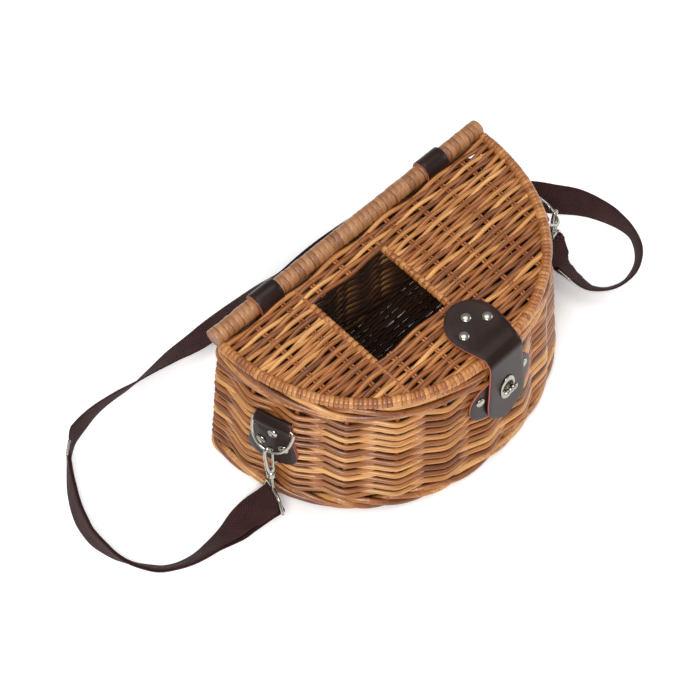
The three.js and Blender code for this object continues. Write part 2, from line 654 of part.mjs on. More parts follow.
function buildLidPanel() {
  const inset = 2 * EDGE_R + GAP;
  const outline = (z) => {
    const points = [];
    for (let i = 0; i <= FRONT_STEPS; i += 1) {
      const p = lidFront(inset, (Math.PI * i) / FRONT_STEPS);
      points.push(new THREE.Vector3(p.x, p.y, z));
    }
    return points;
  };
  const cuts = [{ x: HOLE_X, y: RAIL_Y - HOLE_BACK - HOLE_DEPTH / 2, width: HOLE_WIDTH, depth: HOLE_DEPTH }];
  for (const side of [-1, 1]) {
    cuts.push({ x: side * LOOP_X, y: LID_BACK, width: LOOP_WIDTH + 2 * NOTCH_SIDE, depth: 2 * NOTCH_DEPTH });
  }
  let panel = toSolid(gridGeometry([outline(PANEL_Z), outline(LID_TOP)], false));
  for (const cut of cuts) {
    const box = new THREE.BoxGeometry(cut.width, cut.depth, 4 * PANEL_THICKNESS);
    box.translate(cut.x, cut.y, LID_TOP);
    panel = panel.subtract(toSolid(box));
  }
  piece('lid_panel', toGeometry(panel), FINISH.willow, lid);
}

// A round section for extruded tubes
function roundSection(radius, sides) {
  const shape = new THREE.Shape();
  for (let i = 0; i < sides; i += 1) {
    const angle = (2 * Math.PI * i) / sides;
    const p = [radius * Math.cos(angle), radius * Math.sin(angle)];
    if (i === 0) {
      shape.moveTo(...p);
    } else {
      shape.lineTo(...p);
    }
  }
  return shape;
}

function buildLidEdges() {
  const path = [];
  for (let i = 0; i <= FRONT_STEPS; i += 1) {
    const p = lidFront(EDGE_R, (Math.PI * i) / FRONT_STEPS);
    path.push(new THREE.Vector3(p.x, p.y, EDGE_Z));
  }
  const curve = new THREE.CatmullRomCurve3(path);
  const edge = new THREE.ExtrudeGeometry(roundSection(EDGE_R, 8), { steps: FRONT_STEPS, extrudePath: curve });
  piece('lid_edge', edge, FINISH.willow, lid);
  const rail = new THREE.CylinderGeometry(RAIL_R, RAIL_R, RAIL_LENGTH, 20);
  rail.rotateZ(Math.PI / 2);
  rail.translate(0, RAIL_Y, RAIL_Z);
  piece('lid_rail', rail, FINISH.rail, lid);
}

// The flap's run: rows of its distance and its half width, as shares of the head or of the tail
const HEAD_TABLE = [
  [0, 0.2], [0.05, 0.42], [0.14, 0.68], [0.31, 0.95], [0.47, 1], [0.68, 0.95], [0.88, 0.85], [1, 0.8],
];
const TAIL_TABLE = [
  [0.1, 0.76], [0.35, 0.82], [0.6, 0.88], [0.76, 0.85], [0.86, 0.68], [0.93, 0.44], [0.98, 0.2],
];
const HEAD_RISE = { from: 0.62, to: 0.88 };
const BEND_SHARE = 0.76;

function flapRows() {
  const edgeTop = EDGE_Z + EDGE_R;
  const headFront = RAIL_Y - LID_DEPTH + EDGE_R;
  const lift = GAP + LEATHER / 2;
  const rows = [];
  for (const [share, half] of HEAD_TABLE) {
    const y = headFront + FLAP_HEAD_LENGTH * (1 - share);
    const ramp = (share - HEAD_RISE.from) / (HEAD_RISE.to - HEAD_RISE.from);
    const z = mix(LID_TOP, edgeTop, Math.min(1, Math.max(0, ramp))) + lift;
    rows.push({ y, z, half: half * FLAP_HALF, face: [0, 1] });
  }
  const wallSlope = (BASE_DEPTH - TOP_DEPTH) / BASKET_HEIGHT;
  const lean = Math.atan(wallSlope);
  const bendR = FLAP_BEND_R + LEATHER / 2;
  for (let i = 1; i <= BEND_STEPS; i += 1) {
    const angle = (Math.PI / 2 - lean) * (i / BEND_STEPS);
    rows.push({
      y: headFront - bendR * Math.sin(angle),
      z: edgeTop + lift - bendR * (1 - Math.cos(angle)),
      half: BEND_SHARE * FLAP_HALF,
      face: [-Math.sin(angle), Math.cos(angle)],
    });
  }
  const seat = lockPlace(0, 0, TAIL_INNER + LEATHER / 2);
  const bendEnd = rows[rows.length - 1];
  for (const [share, half] of TAIL_TABLE) {
    const drop = share * FLAP_TAIL_LENGTH;
    const z = bendEnd.z - drop * Math.cos(lean);
    const onWall = seat.point.y - (seat.point.z - z) * wallSlope;
    const settle = Math.min(1, share / TAIL_TABLE[1][0]);
    const y = mix(bendEnd.y - drop * Math.sin(lean), onWall, settle);
    rows.push({ y, z, half: half * FLAP_HALF, face: [-Math.cos(lean), Math.sin(lean)] });
  }
  return rows;
}

function buildFlap() {
  const columns = [-1, -0.6, -0.2, 0.2, 0.6, 1];
  const stations = flapRows().map(({ y, z, half, face }) => ({
    points: columns.map((share) => new THREE.Vector3(FLAP_X + share * half, y, z)),
    faces: columns.map(() => new THREE.Vector3(0, ...face)),
  }));
  const flap = toSolid(sheetGeometry(stations, LEATHER));
  const seat = lockPlace(0, 0, TAIL_INNER - LEATHER);
  const slot = toSolid(wallPlate(ellipsePath(THREE.Shape, SLOT_WIDTH / 2, SLOT_LENGTH / 2), seat, LEATHER * 3));
  piece('closure_flap', toGeometry(flap.subtract(slot)), FINISH.leather, lid);

  const plate = ellipsePath(THREE.Shape, PLATE_WIDTH / 2, PLATE_LENGTH / 2);
  plate.holes.push(ellipsePath(THREE.Path, SLOT_WIDTH / 2, SLOT_LENGTH / 2));
  piece('eyelet_plate', wallPlate(plate, lockPlace(0, 0, PLATE_INNER), PLATE), FINISH.nickel, lid);

  const top = LID_TOP + GAP + LEATHER;
  const tipY = RAIL_Y - LID_DEPTH + EDGE_R + FLAP_HEAD_LENGTH;
  const backY = tipY - FLAP_RIVET_BACK;
  const pairY = tipY - FLAP_RIVET_LOW;
  const seats = [[0, backY], [-FLAP_RIVET_PAIR / 2, pairY], [FLAP_RIVET_PAIR / 2, pairY]];
  seats.forEach(([dx, y], i) => {
    rivet(`flap_rivet_${i + 1}`, new THREE.Vector3(FLAP_X + dx, y, top), new THREE.Vector3(0, 0, 1), lid);
  });
}

// The webbing's directions at a place: along its run, across its width, and out of its face
function webFrame(run, roll) {
  const level = new THREE.Vector3(-run.y, run.x, 0).normalize();
  const rise = new THREE.Vector3().crossVectors(run, level).normalize();
  const angle = THREE.MathUtils.degToRad(roll);
  return level.multiplyScalar(Math.cos(angle)).addScaledVector(rise, Math.sin(angle));
}

// One row of the webbing's sheet
function webStation(point, run, across) {
  const face = new THREE.Vector3().crossVectors(run, across).normalize();
  const points = [-0.5, 0.5].map((share) => point.clone().addScaledVector(across, share * STRAP_WIDTH));
  return { points, faces: [face, face] };
}

// Where the webbing ends against a slider: side -1 runs into it, 1 runs out
function sliderEnd(slider, side) {
  const run = new THREE.Vector3(...slider.heading).normalize();
  const reach = side * (SLIDER_LENGTH / 2 + GAP);
  const point = new THREE.Vector3(...slider.middle).addScaledVector(run, reach);
  return webStation(point, run, webFrame(run, slider.roll));
}

// Where the webbing meets its ring's bar: side 1 runs away from the ring, -1 runs up to it
function ringEnd(ring, side) {
  const across = ring.barDir.clone().multiplyScalar(side);
  const level = new THREE.Vector3(across.y, -across.x, 0).normalize();
  const slope = new THREE.Vector3(0, 0, -side * Math.sin(RING_SLOPE));
  const run = level.multiplyScalar(Math.cos(RING_SLOPE)).add(slope);
  const point = ring.barMiddle.clone().addScaledVector(run, side * (RING_WIRE_R + GAP));
  return webStation(point, run, across);
}

// A stretch of webbing along route rows between its two given ends
function strapStretch(name, route, thickness, first, last) {
  const { x, y, z, roll } = STRAP_ROUTE_COLUMNS;
  const points = route.map((row) => new THREE.Vector3(row[x], row[y], row[z]));
  const stations = points.map((point, i) => {
    const before = points[Math.max(0, i - 1)];
    const after = points[Math.min(points.length - 1, i + 1)];
    const run = after.clone().sub(before).normalize();
    return webStation(point, run, webFrame(run, route[i][roll]));
  });
  piece(name, sheetGeometry([first, ...stations, last], thickness), FINISH.webbing);
}

// A rectangular path
function boxPath(path, x0, y0, x1, y1) {
  path.moveTo(x0, y0);
  path.lineTo(x1, y0);
  path.lineTo(x1, y1);
  path.lineTo(x0, y1);
  return path;
}

// A slider: a frame with a middle bar, lying across the webbing
function buildSlider(name, slider) {
  const run = new THREE.Vector3(...slider.heading).normalize();
  const across = webFrame(run, slider.roll);
  const half = SLIDER_LENGTH / 2;
  const shape = boxPath(new THREE.Shape(), -SLIDER_HALF, -half, SLIDER_HALF, half);
  const slotHalf = SLIDER_HALF - SLIDER_WIRE;
  const slotNear = SLIDER_WIRE / 2;
  const slotFar = half - SLIDER_WIRE;
  shape.holes.push(boxPath(new THREE.Path(), -slotHalf, -slotFar, slotHalf, -slotNear));
  shape.holes.push(boxPath(new THREE.Path(), -slotHalf, slotNear, slotHalf, slotFar));
  const geometry = new THREE.ExtrudeGeometry(shape, { depth: SLIDER_WIRE, bevelEnabled: false });
  geometry.translate(0, 0, -SLIDER_WIRE / 2);
  const basis = new THREE.Matrix4().makeBasis(across, run, across.clone().cross(run));
  basis.setPosition(new THREE.Vector3(...slider.middle));
  geometry.applyMatrix4(basis);
  piece(name, geometry, FINISH.nickel);
}

buildBasket();
const rings = [LEFT, RIGHT].map((side) => {
  const bar = buildTab(side);
  const bow = buildDRing(side, bar);
  return buildHook(side, bow);
});
buildLockBase();
buildLidPanel();
buildLidEdges();
buildFlap();
const DOUBLED = 2 * STRAP + GAP;
strapStretch('strap_left', ROUTE_LEFT, DOUBLED, ringEnd(rings[0], 1), sliderEnd(SLIDER_LEFT, -1));
strapStretch('strap_main', ROUTE_MAIN, STRAP, sliderEnd(SLIDER_LEFT, 1), sliderEnd(SLIDER_RIGHT, -1));
strapStretch('strap_right', ROUTE_RIGHT, DOUBLED, sliderEnd(SLIDER_RIGHT, 1), ringEnd(rings[1], -1));
buildSlider('slider_left', SLIDER_LEFT);
buildSlider('slider_right', SLIDER_RIGHT);

export default group;
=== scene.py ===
"""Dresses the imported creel: woven willow, leather, webbing and nickel, on a pale studio floor."""

import logging
import math
from dataclasses import dataclass, field
from enum import Enum

import bmesh
import bpy
import numpy as np
from mathutils import Matrix, Vector


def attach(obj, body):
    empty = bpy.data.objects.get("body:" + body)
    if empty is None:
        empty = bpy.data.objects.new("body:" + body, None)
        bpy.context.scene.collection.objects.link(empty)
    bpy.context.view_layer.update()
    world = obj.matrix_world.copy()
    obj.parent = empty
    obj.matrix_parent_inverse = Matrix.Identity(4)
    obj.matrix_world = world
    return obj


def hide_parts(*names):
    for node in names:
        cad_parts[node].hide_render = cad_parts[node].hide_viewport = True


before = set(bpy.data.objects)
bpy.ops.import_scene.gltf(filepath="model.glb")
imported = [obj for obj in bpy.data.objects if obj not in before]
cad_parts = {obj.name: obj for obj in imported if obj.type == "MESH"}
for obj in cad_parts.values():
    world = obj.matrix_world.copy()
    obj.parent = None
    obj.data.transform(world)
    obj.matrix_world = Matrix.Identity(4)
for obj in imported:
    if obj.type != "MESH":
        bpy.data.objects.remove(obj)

log = logging.getLogger("creel")
Array = np.ndarray
Thing = bpy.types.Object
Mesh = bpy.types.Mesh
Value = float | bpy.types.NodeSocket
Frame = tuple[Array, Array, Array, Array]
Seats = list[tuple[Array, Array]]

# Sizes are metres. The seed fixes every random draw.
SEED = 11
BASKET = "basket"
LID = "lid"
KNOB = "knob"
TINY = 1e-9
NO_LENGTH = 1e-12
DOUBLE_POINT = 1e-7
STEPS_PER_SPAN = 12
GAP = 0.0003
LEATHER_THICKNESS = 0.0026


def save_size() -> None:
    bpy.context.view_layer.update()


def unit(values: Array) -> Array:
    """Gives vectors along the last axis a length of one.

    Args:
        values: Any array whose last axis is a vector.

    Returns:
        The array scaled to unit vectors.
    """
    values = np.asarray(values, float)
    return values / np.maximum(np.linalg.norm(values, axis=-1, keepdims=True), NO_LENGTH)


def distances(rows: Array) -> Array:
    """Measures how far along a path each row is.

    Args:
        rows: Places in metres.

    Returns:
        One distance for each row, from 0.
    """
    gaps = np.linalg.norm(np.diff(rows, axis=0), axis=1)
    return np.concatenate([[0], np.cumsum(gaps)])


def read_rows(rows: Array, along: Array, wanted: Array) -> Array:
    """Reads every column of a table of rows at other distances.

    Args:
        rows: The rows.
        along: Each row's distance.
        wanted: The distances to read at.

    Returns:
        The new rows.
    """
    return np.stack([np.interp(wanted, along, rows[:, i]) for i in range(rows.shape[1])], axis=-1)


def smooth_path(points: Array, step: float, closed: bool = False) -> Array:
    """Draws a Catmull-Rom curve through rows of numbers and resamples it evenly.

    Args:
        points: Rows whose first three columns are a place in metres; the rest follow along.
        step: Distance between the new rows in metres.
        closed: Whether the last row leads back to the first.

    Returns:
        The new rows.
    """
    rows = np.asarray(points, float)
    count = len(rows)
    if closed:
        padded = np.vstack([rows[-1], rows, rows[0], rows[1]])
    else:
        padded = np.vstack([2 * rows[0] - rows[1], rows, 2 * rows[-1] - rows[-2]])
    fine = []
    spans = count if closed else count - 1
    for i in range(spans):
        a, b, c, d = padded[i : i + 4]
        t = np.linspace(0, 1, STEPS_PER_SPAN, endpoint=False)[:, None]
        fine.append(
            0.5 * (2 * b + (c - a) * t + (2 * a - 5 * b + 4 * c - d) * t**2 + (3 * b - a - 3 * c + d) * t**3)
        )
    fine.append(padded[spans + 1][None, :])
    return resample(np.vstack(fine), step)


def resample(rows: Array, step: float) -> Array:
    """Spaces rows evenly along their path.

    Args:
        rows: Rows whose first three columns are a place in metres.
        step: Distance between the new rows in metres.

    Returns:
        The new rows.
    """
    along = distances(rows[:, :3])
    count = max(2, int(round(along[-1] / step)) + 1)
    return read_rows(rows, along, np.linspace(0, along[-1], count))


def blur(values: Array, passes: int, closed: bool) -> Array:
    """Softens kinks by averaging each row with its neighbours.

    Args:
        values: Rows along a path.
        passes: How many times to average.
        closed: Whether the path is a loop.

    Returns:
        The softened rows.
    """
    out = np.array(values, float)
    for _ in range(passes):
        if closed:
            out = (np.roll(out, 1, axis=0) + 2 * out + np.roll(out, -1, axis=0)) / 4
        else:
            out[1:-1] = (out[:-2] + 2 * out[1:-1] + out[2:]) / 4
    return out


class Nodes:
    """A node tree with short calls for adding, setting and linking nodes."""

    def __init__(self, tree: bpy.types.NodeTree) -> None:
        """Keeps the tree."""
        self.tree = tree

    def add(self, kind: str, inputs: dict | None = None, **settings: object) -> bpy.types.Node:
        """Adds one node.

        Args:
            kind: The node's type name.
            inputs: Values or output sockets by input name or number.
            **settings: The node's own properties.

        Returns:
            The node.
        """
        node = self.tree.nodes.new(kind)
        for name, value in settings.items():
            setattr(node, name, value)
        self.fill(node, inputs or {})
        return node

    def fill(self, node: bpy.types.Node, inputs: dict) -> None:
        """Sets or links a node's inputs.

        Args:
            node: The node.
            inputs: Values or output sockets by input name or number.
        """
        for key, value in inputs.items():
            if isinstance(value, bpy.types.NodeSocket):
                self.join(value, node.inputs[key])
            else:
                node.inputs[key].default_value = value

    def math(self, operation: str, *values: Value) -> bpy.types.NodeSocket:
        """Adds one sum and gives its result."""
        return self.add("ShaderNodeMath", dict(enumerate(values)), operation=operation).outputs[0]

    def join(self, source: bpy.types.NodeSocket, target: bpy.types.NodeSocket) -> None:
        """Links one socket to another."""
        self.tree.links.new(source, target)


class GeometryGroup(Enum):
    """The geometry node groups this scene builds."""

    SWEEP = "Rod sweep"
    REPEAT = "Piece repeat"


@dataclass(frozen=True)
class Socket:
    """One named input of a node group."""

    name: str
    kind: str
    value: float | int | tuple | None = None


def new_group(
    name: str, kind: str, inputs: list[Socket], outputs: list[Socket]
) -> tuple[Nodes, dict[str, bpy.types.NodeSocket], bpy.types.Node]:
    """Starts a node group with its interface.

    Args:
        name: The group's name.
        kind: The node tree's type name.
        inputs: Its inputs in order.
        outputs: Its outputs in order.

    Returns:
        The tree, its input sockets by name, and its output node.
    """
    tree = bpy.data.node_groups.new(name, kind)
    for way, sockets in (("INPUT", inputs), ("OUTPUT", outputs)):
        for socket in sockets:
            made = tree.interface.new_socket(socket.name, in_out=way, socket_type=socket.kind)
            if socket.value is not None:
                made.default_value = socket.value
    nodes = Nodes(tree)
    source = nodes.add("NodeGroupInput")
    target = nodes.add("NodeGroupOutput")
    return nodes, {s.name: s for s in source.outputs if s.name}, target


def end_group(
    nodes: Nodes,
    geometry: bpy.types.NodeSocket,
    given: dict[str, bpy.types.NodeSocket],
    target: bpy.types.Node,
) -> bpy.types.NodeTree:
    """Ends a geometry group: copies become real and take the material.

    Args:
        nodes: The group's nodes.
        geometry: What the group has made.
        given: Its input sockets by name.
        target: Its output node.

    Returns:
        The group.
    """
    real = nodes.add("GeometryNodeRealizeInstances", {"Geometry": geometry})
    inputs = {"Geometry": real.outputs["Geometry"], "Material": given["Material"]}
    painted = nodes.add("GeometryNodeSetMaterial", inputs)
    nodes.join(painted.outputs["Geometry"], target.inputs["Geometry"])
    return nodes.tree


def sweep_group() -> bpy.types.NodeTree:
    """Builds the group that sweeps a round section along lines with stored girths.

    Returns:
        The group, built once.
    """
    name = GeometryGroup.SWEEP.value
    if name in bpy.data.node_groups:
        return bpy.data.node_groups[name]
    geometry = Socket("Geometry", "NodeSocketGeometry")
    nodes, given, target = new_group(
        name,
        "GeometryNodeTree",
        [geometry, Socket("Sides", "NodeSocketInt", 8), Socket("Material", "NodeSocketMaterial")],
        [geometry],
    )
    curve = nodes.add("GeometryNodeMeshToCurve", {"Mesh": given["Geometry"]})
    radius = nodes.add("GeometryNodeInputNamedAttribute", {"Name": "girth"}, data_type="FLOAT")
    size = {"Resolution": given["Sides"], "Radius": 1.0}
    circle = nodes.add("GeometryNodeCurvePrimitiveCircle", size)
    index = nodes.add("GeometryNodeInputIndex")
    turn = nodes.math("DIVIDE", index.outputs[0], given["Sides"])
    section = nodes.add(
        "GeometryNodeStoreNamedAttribute",
        {"Geometry": circle.outputs["Curve"], "Name": "around", "Value": turn},
        data_type="FLOAT",
        domain="POINT",
    )
    sized = nodes.add(
        "GeometryNodeSetCurveRadius",
        {"Curve": curve.outputs["Curve"], "Radius": radius.outputs["Attribute"]},
    )
    inputs = {"Curve": sized.outputs["Curve"], "Profile Curve": section.outputs["Geometry"]}
    swept = nodes.add("GeometryNodeCurveToMesh", {**inputs, "Fill Caps": True})
    if "Scale" in swept.inputs:
        nodes.join(radius.outputs["Attribute"], swept.inputs["Scale"])
    smooth = nodes.add("GeometryNodeSetShadeSmooth", {"Geometry": swept.outputs["Mesh"]})
    return end_group(nodes, smooth.outputs["Geometry"], given, target)


def repeat_group() -> bpy.types.NodeTree:
    """Builds the group that sets a piece at points, turned to their stored direction and size.

    Returns:
        The group, built once.
    """
    name = GeometryGroup.REPEAT.value
    if name in bpy.data.node_groups:
        return bpy.data.node_groups[name]
    geometry = Socket("Geometry", "NodeSocketGeometry")
    nodes, given, target = new_group(
        name,
        "GeometryNodeTree",
        [
            geometry,
            Socket("Piece", "NodeSocketObject"),
            Socket("Lean", "NodeSocketFloat", 0.0),
            Socket("Seed", "NodeSocketInt", SEED),
            Socket("Material", "NodeSocketMaterial"),
        ],
        [geometry],
    )
    piece = nodes.add("GeometryNodeObjectInfo", {"Object": given["Piece"], "As Instance": True})
    heading = nodes.add("GeometryNodeInputNamedAttribute", {"Name": "heading"}, data_type="FLOAT_VECTOR")
    size = nodes.add("GeometryNodeInputNamedAttribute", {"Name": "size"}, data_type="FLOAT_VECTOR")
    lowest = nodes.math("MULTIPLY", given["Lean"], -1.0)
    spread = nodes.add("FunctionNodeRandomValue", {"Seed": given["Seed"]}, data_type="FLOAT")
    floats = [s for s in spread.inputs if s.type == "VALUE"]
    nodes.join(lowest, floats[0])
    nodes.join(given["Lean"], floats[1])
    value = next(s for s in spread.outputs if s.type == "VALUE")
    tilt = nodes.add("ShaderNodeCombineXYZ", {"X": value, "Y": value})
    ways = {0: heading.outputs["Attribute"], 1: tilt.outputs[0]}
    leaned = nodes.add("ShaderNodeVectorMath", ways, operation="ADD")
    turned = nodes.add("FunctionNodeAlignRotationToVector", {"Vector": leaned.outputs[0]}, axis="Z")
    placed = nodes.add(
        "GeometryNodeInstanceOnPoints",
        {
            "Points": given["Geometry"],
            "Instance": piece.outputs["Geometry"],
            "Rotation": turned.outputs["Rotation"],
            "Scale": size.outputs["Attribute"],
        },
    )
    return end_group(nodes, placed.outputs["Instances"], given, target)


def look_name(name: str) -> str:
    """Gives the object name for a piece's plain name."""
    return name.replace(" ", "_") + "_look"


def bake(name: str, mesh: Mesh, group: bpy.types.NodeTree, **values: object) -> Thing:
    """Runs a geometry node group on a mesh once and keeps the result.

    Args:
        name: The finished object's name.
        mesh: What the group starts from.
        group: The geometry node group.
        **values: Its inputs by name, with spaces as underscores.

    Returns:
        The finished object, with no modifier.
    """
    obj = bpy.data.objects.new(look_name(name), mesh)
    bpy.context.scene.collection.objects.link(obj)
    modifier = obj.modifiers.new("Look", "NODES")
    modifier.node_group = group
    for item in group.interface.items_tree:
        key = item.name.replace(" ", "_")
        if item.item_type == "SOCKET" and item.in_out == "INPUT" and key in values:
            modifier[item.identifier] = values[key]
    depsgraph = bpy.context.evaluated_depsgraph_get()
    made = bpy.data.meshes.new_from_object(
        obj.evaluated_get(depsgraph), preserve_all_data_layers=True, depsgraph=depsgraph
    )
    obj.modifiers.remove(modifier)
    obj.data = made
    made.name = name
    return obj


def store(mesh: Mesh, name: str, values: Array, domain: str = "POINT") -> None:
    """Stores numbers or vectors on a mesh.

    Args:
        mesh: The mesh.
        name: The attribute's name.
        values: One number or vector for each element.
        domain: What the elements are.
    """
    values = np.asarray(values, float)
    kind = "FLOAT" if values.ndim == 1 else "FLOAT_VECTOR"
    field_name = "value" if kind == "FLOAT" else "vector"
    column = mesh.attributes.new(name, kind, domain)
    column.data.foreach_set(field_name, values.astype(np.float32).ravel())


# How far the grain moves on from one rod to the next, for each of its rows
GRAIN_SHIFT = 3.7

# The range of tones of repeated pieces, from this start over this width
REPEAT_TONE = (0.42, 0.3)


def read_vectors(mesh: Mesh, name: str) -> Array:
    """Reads a vector from each point of a mesh.

    Args:
        mesh: The mesh.
        name: Which vector, its place or its normal.

    Returns:
        One row for each point.
    """
    values = np.empty(len(mesh.vertices) * 3)
    mesh.vertices.foreach_get(name, values)
    return values.reshape(-1, 3)


@dataclass(frozen=True)
class Rod:
    """One rod or wire: its line, girth, tone and whether it is a loop."""

    line: Array
    girth: float | Array
    tone: float | Array = 0.5
    closed: bool = False


def sweep(name: str, rods: list[Rod], sides: int, material: bpy.types.Material) -> Thing:
    """Makes one object of round rods.

    Args:
        name: The object's name.
        rods: The rods.
        sides: Facets round each rod.
        material: Its finish.

    Returns:
        The object.
    """
    points, edges, girth, tone, along = [], [], [], [], []
    start = 0
    for rod in rods:
        count = len(rod.line)
        points.append(rod.line)
        girth.append(np.broadcast_to(rod.girth, count))
        tone.append(np.broadcast_to(rod.tone, count))
        along.append(distances(rod.line) + GRAIN_SHIFT * start)
        numbers = np.arange(start, start + count)
        edges.extend(zip(numbers[:-1].tolist(), numbers[1:].tolist()))
        if rod.closed:
            edges.append((start + count - 1, start))
        start += count
    mesh = bpy.data.meshes.new(name + " lines")
    mesh.from_pydata(np.vstack(points).tolist(), edges, [])
    store(mesh, "girth", np.concatenate(girth))
    store(mesh, "tone", np.concatenate(tone))
    store(mesh, "along", np.concatenate(along))
    return bake(name, mesh, sweep_group(), Sides=sides, Material=material)


def repeat(
    name: str,
    piece: Mesh,
    places: Array,
    headings: Array,
    sizes: Array,
    material: bpy.types.Material,
    lean: float = 0.0,
) -> Thing:
    """Makes one object of copies of a small piece.

    Args:
        name: The object's name.
        piece: The small piece, its axis along Z.
        places: Where the copies go.
        headings: Where each copy's axis points.
        sizes: Each copy's scale on three axes.
        material: Its finish.
        lean: How far each copy may lean at random, as a share of its axis.

    Returns:
        The object.
    """
    holder = bpy.data.objects.new(name + " piece", piece)
    mesh = bpy.data.meshes.new(name + " places")
    mesh.from_pydata(np.asarray(places).tolist(), [], [])
    store(mesh, "heading", unit(headings))
    store(mesh, "size", sizes)
    start, width = REPEAT_TONE
    store(mesh, "tone", start + width * np.random.default_rng(SEED + len(name)).random(len(places)))
    obj = bake(name, mesh, repeat_group(), Piece=holder, Lean=lean, Seed=SEED, Material=material)
    bpy.data.objects.remove(holder)
    return obj


def lathe_mesh(name: str, profile: list[tuple[float, float]], sides: int) -> Mesh:
    """Turns a closed profile of radius and height about Z.

    Args:
        name: The mesh's name.
        profile: Rows of radius and height, outside upwards; a closed ring section, or one that
            starts and ends on the axis.
        sides: Facets round.

    Returns:
        The mesh.
    """
    rows = np.asarray(profile, float)
    turn = np.linspace(0, 2 * math.pi, sides, endpoint=False)
    on_axis = rows[0][0] < TINY
    points, faces = [], []
    for r, h in rows:
        ring = np.column_stack([r * np.cos(turn), r * np.sin(turn), np.full(sides, h)])
        points.extend(ring.tolist())
    count = len(rows)
    spans = count - 1 if on_axis else count
    for i in range(spans):
        for k in range(sides):
            a, b = i * sides + k, i * sides + (k + 1) % sides
            c, d = ((i + 1) % count) * sides + (k + 1) % sides, ((i + 1) % count) * sides + k
            faces.append((a, b, c, d))
    mesh = bpy.data.meshes.new(name)
    mesh.from_pydata(points, [], faces)
    tidy_mesh(mesh)
    return mesh


def tidy_mesh(mesh: Mesh) -> None:
    """Merges doubled points, turns faces outwards and shades them smooth.

    Args:
        mesh: The mesh, changed in place.
    """
    work = bmesh.new()
    work.from_mesh(mesh)
    bmesh.ops.remove_doubles(work, verts=work.verts, dist=DOUBLE_POINT)
    bmesh.ops.recalc_face_normals(work, faces=work.faces)
    work.to_mesh(mesh)
    work.free()
    mesh.shade_smooth()


def add_object(name: str, mesh: Mesh, material: bpy.types.Material) -> Thing:
    """Links a mesh into the scene with its finish.

    Args:
        name: The piece's plain name.
        mesh: Its mesh.
        material: Its finish.

    Returns:
        The object.
    """
    mesh.materials.append(material)
    obj = bpy.data.objects.new(look_name(name), mesh)
    bpy.context.scene.collection.objects.link(obj)
    return obj


@dataclass(frozen=True)
class Hide:
    """A bent sheet of leather or webbing as a grid of middle points with outward directions."""

    middles: Array
    outs: Array
    thickness: float
    rim: float = 0.6

    def mesh(self, name: str) -> Mesh:
        """Builds the sheet's closed mesh, with its cut edges marked.

        Args:
            name: The mesh's name.

        Returns:
            The mesh, with "raw" on each face, and "across" and "along" on each point.
        """
        rows, columns = self.middles.shape[:2]
        share = np.ones(columns)
        share[0] = share[-1] = self.rim
        lift = self.outs * (self.thickness / 2) * share[None, :, None]
        outer = self.middles + lift
        inner = (self.middles - lift)[:, ::-1]
        ring = np.concatenate([outer, inner], axis=1)
        around = 2 * columns
        faces, raw = [], []
        for i in range(rows - 1):
            for j in range(around):
                k = (j + 1) % around
                here, above = i * around, (i + 1) * around
                faces.append((here + j, here + k, above + k, above + j))
                raw.append(1.0 if j in (columns - 1, around - 1) else 0.0)
        for start in (0, (rows - 1) * around):
            for j in range(columns - 1):
                other = around - 1 - j
                faces.append((start + j, start + j + 1, start + other - 1, start + other))
                raw.append(1.0)
        mesh = bpy.data.meshes.new(name)
        mesh.from_pydata(ring.reshape(-1, 3).tolist(), [], faces)
        along = distances(self.middles[:, columns // 2])
        side = np.linspace(-0.5, 0.5, columns)
        store(mesh, "raw", np.array(raw), "FACE")
        store(mesh, "along", np.repeat(along, around))
        store(mesh, "across", np.tile(np.concatenate([side, side[::-1]]), rows))
        tidy_mesh(mesh)
        return mesh


def lined(values: list[float], rim: float) -> Array:
    """Column shares from -1 to 1 with narrow columns at both edges."""
    return np.array([-1.0, -1.0 + rim, *values, 1.0 - rim, 1.0])


# The finishes and their shader nodes


@dataclass(frozen=True)
class Colour:
    """A colour by its screen values of 0 to 255."""

    red: int
    green: int
    blue: int

    def linear(self) -> tuple[float, float, float, float]:
        """Gives the colour in linear light with full cover, by the usual screen curve.

        Returns:
            Red, green, blue and cover.
        """
        parts = []
        for value in (self.red, self.green, self.blue):
            share = value / 255
            parts.append(share / 12.92 if share <= 0.04045 else ((share + 0.055) / 1.055) ** 2.4)
        return (*parts, 1.0)


# The mix node's sockets for colours, by number
MIX_SHARE = 0
MIX_FIRST = 6
MIX_SECOND = 7
MIX_RESULT = 2


def attribute(nodes: Nodes, name: str) -> bpy.types.NodeSocket:
    """Reads a stored number in a shader."""
    return nodes.add("ShaderNodeAttribute", attribute_name=name).outputs["Fac"]


def mixed(
    nodes: Nodes, share: Value, first: Colour | bpy.types.NodeSocket, second: Colour
) -> bpy.types.NodeSocket:
    """Mixes two colours in a shader.

    Args:
        nodes: The shader's nodes.
        share: How much of the second colour.
        first: The first colour, or a socket that gives it.
        second: The second colour.

    Returns:
        The mixed colour's socket.
    """
    start = first.linear() if isinstance(first, Colour) else first
    inputs = {MIX_SHARE: share, MIX_FIRST: start, MIX_SECOND: second.linear()}
    return nodes.add("ShaderNodeMix", inputs, data_type="RGBA").outputs[MIX_RESULT]


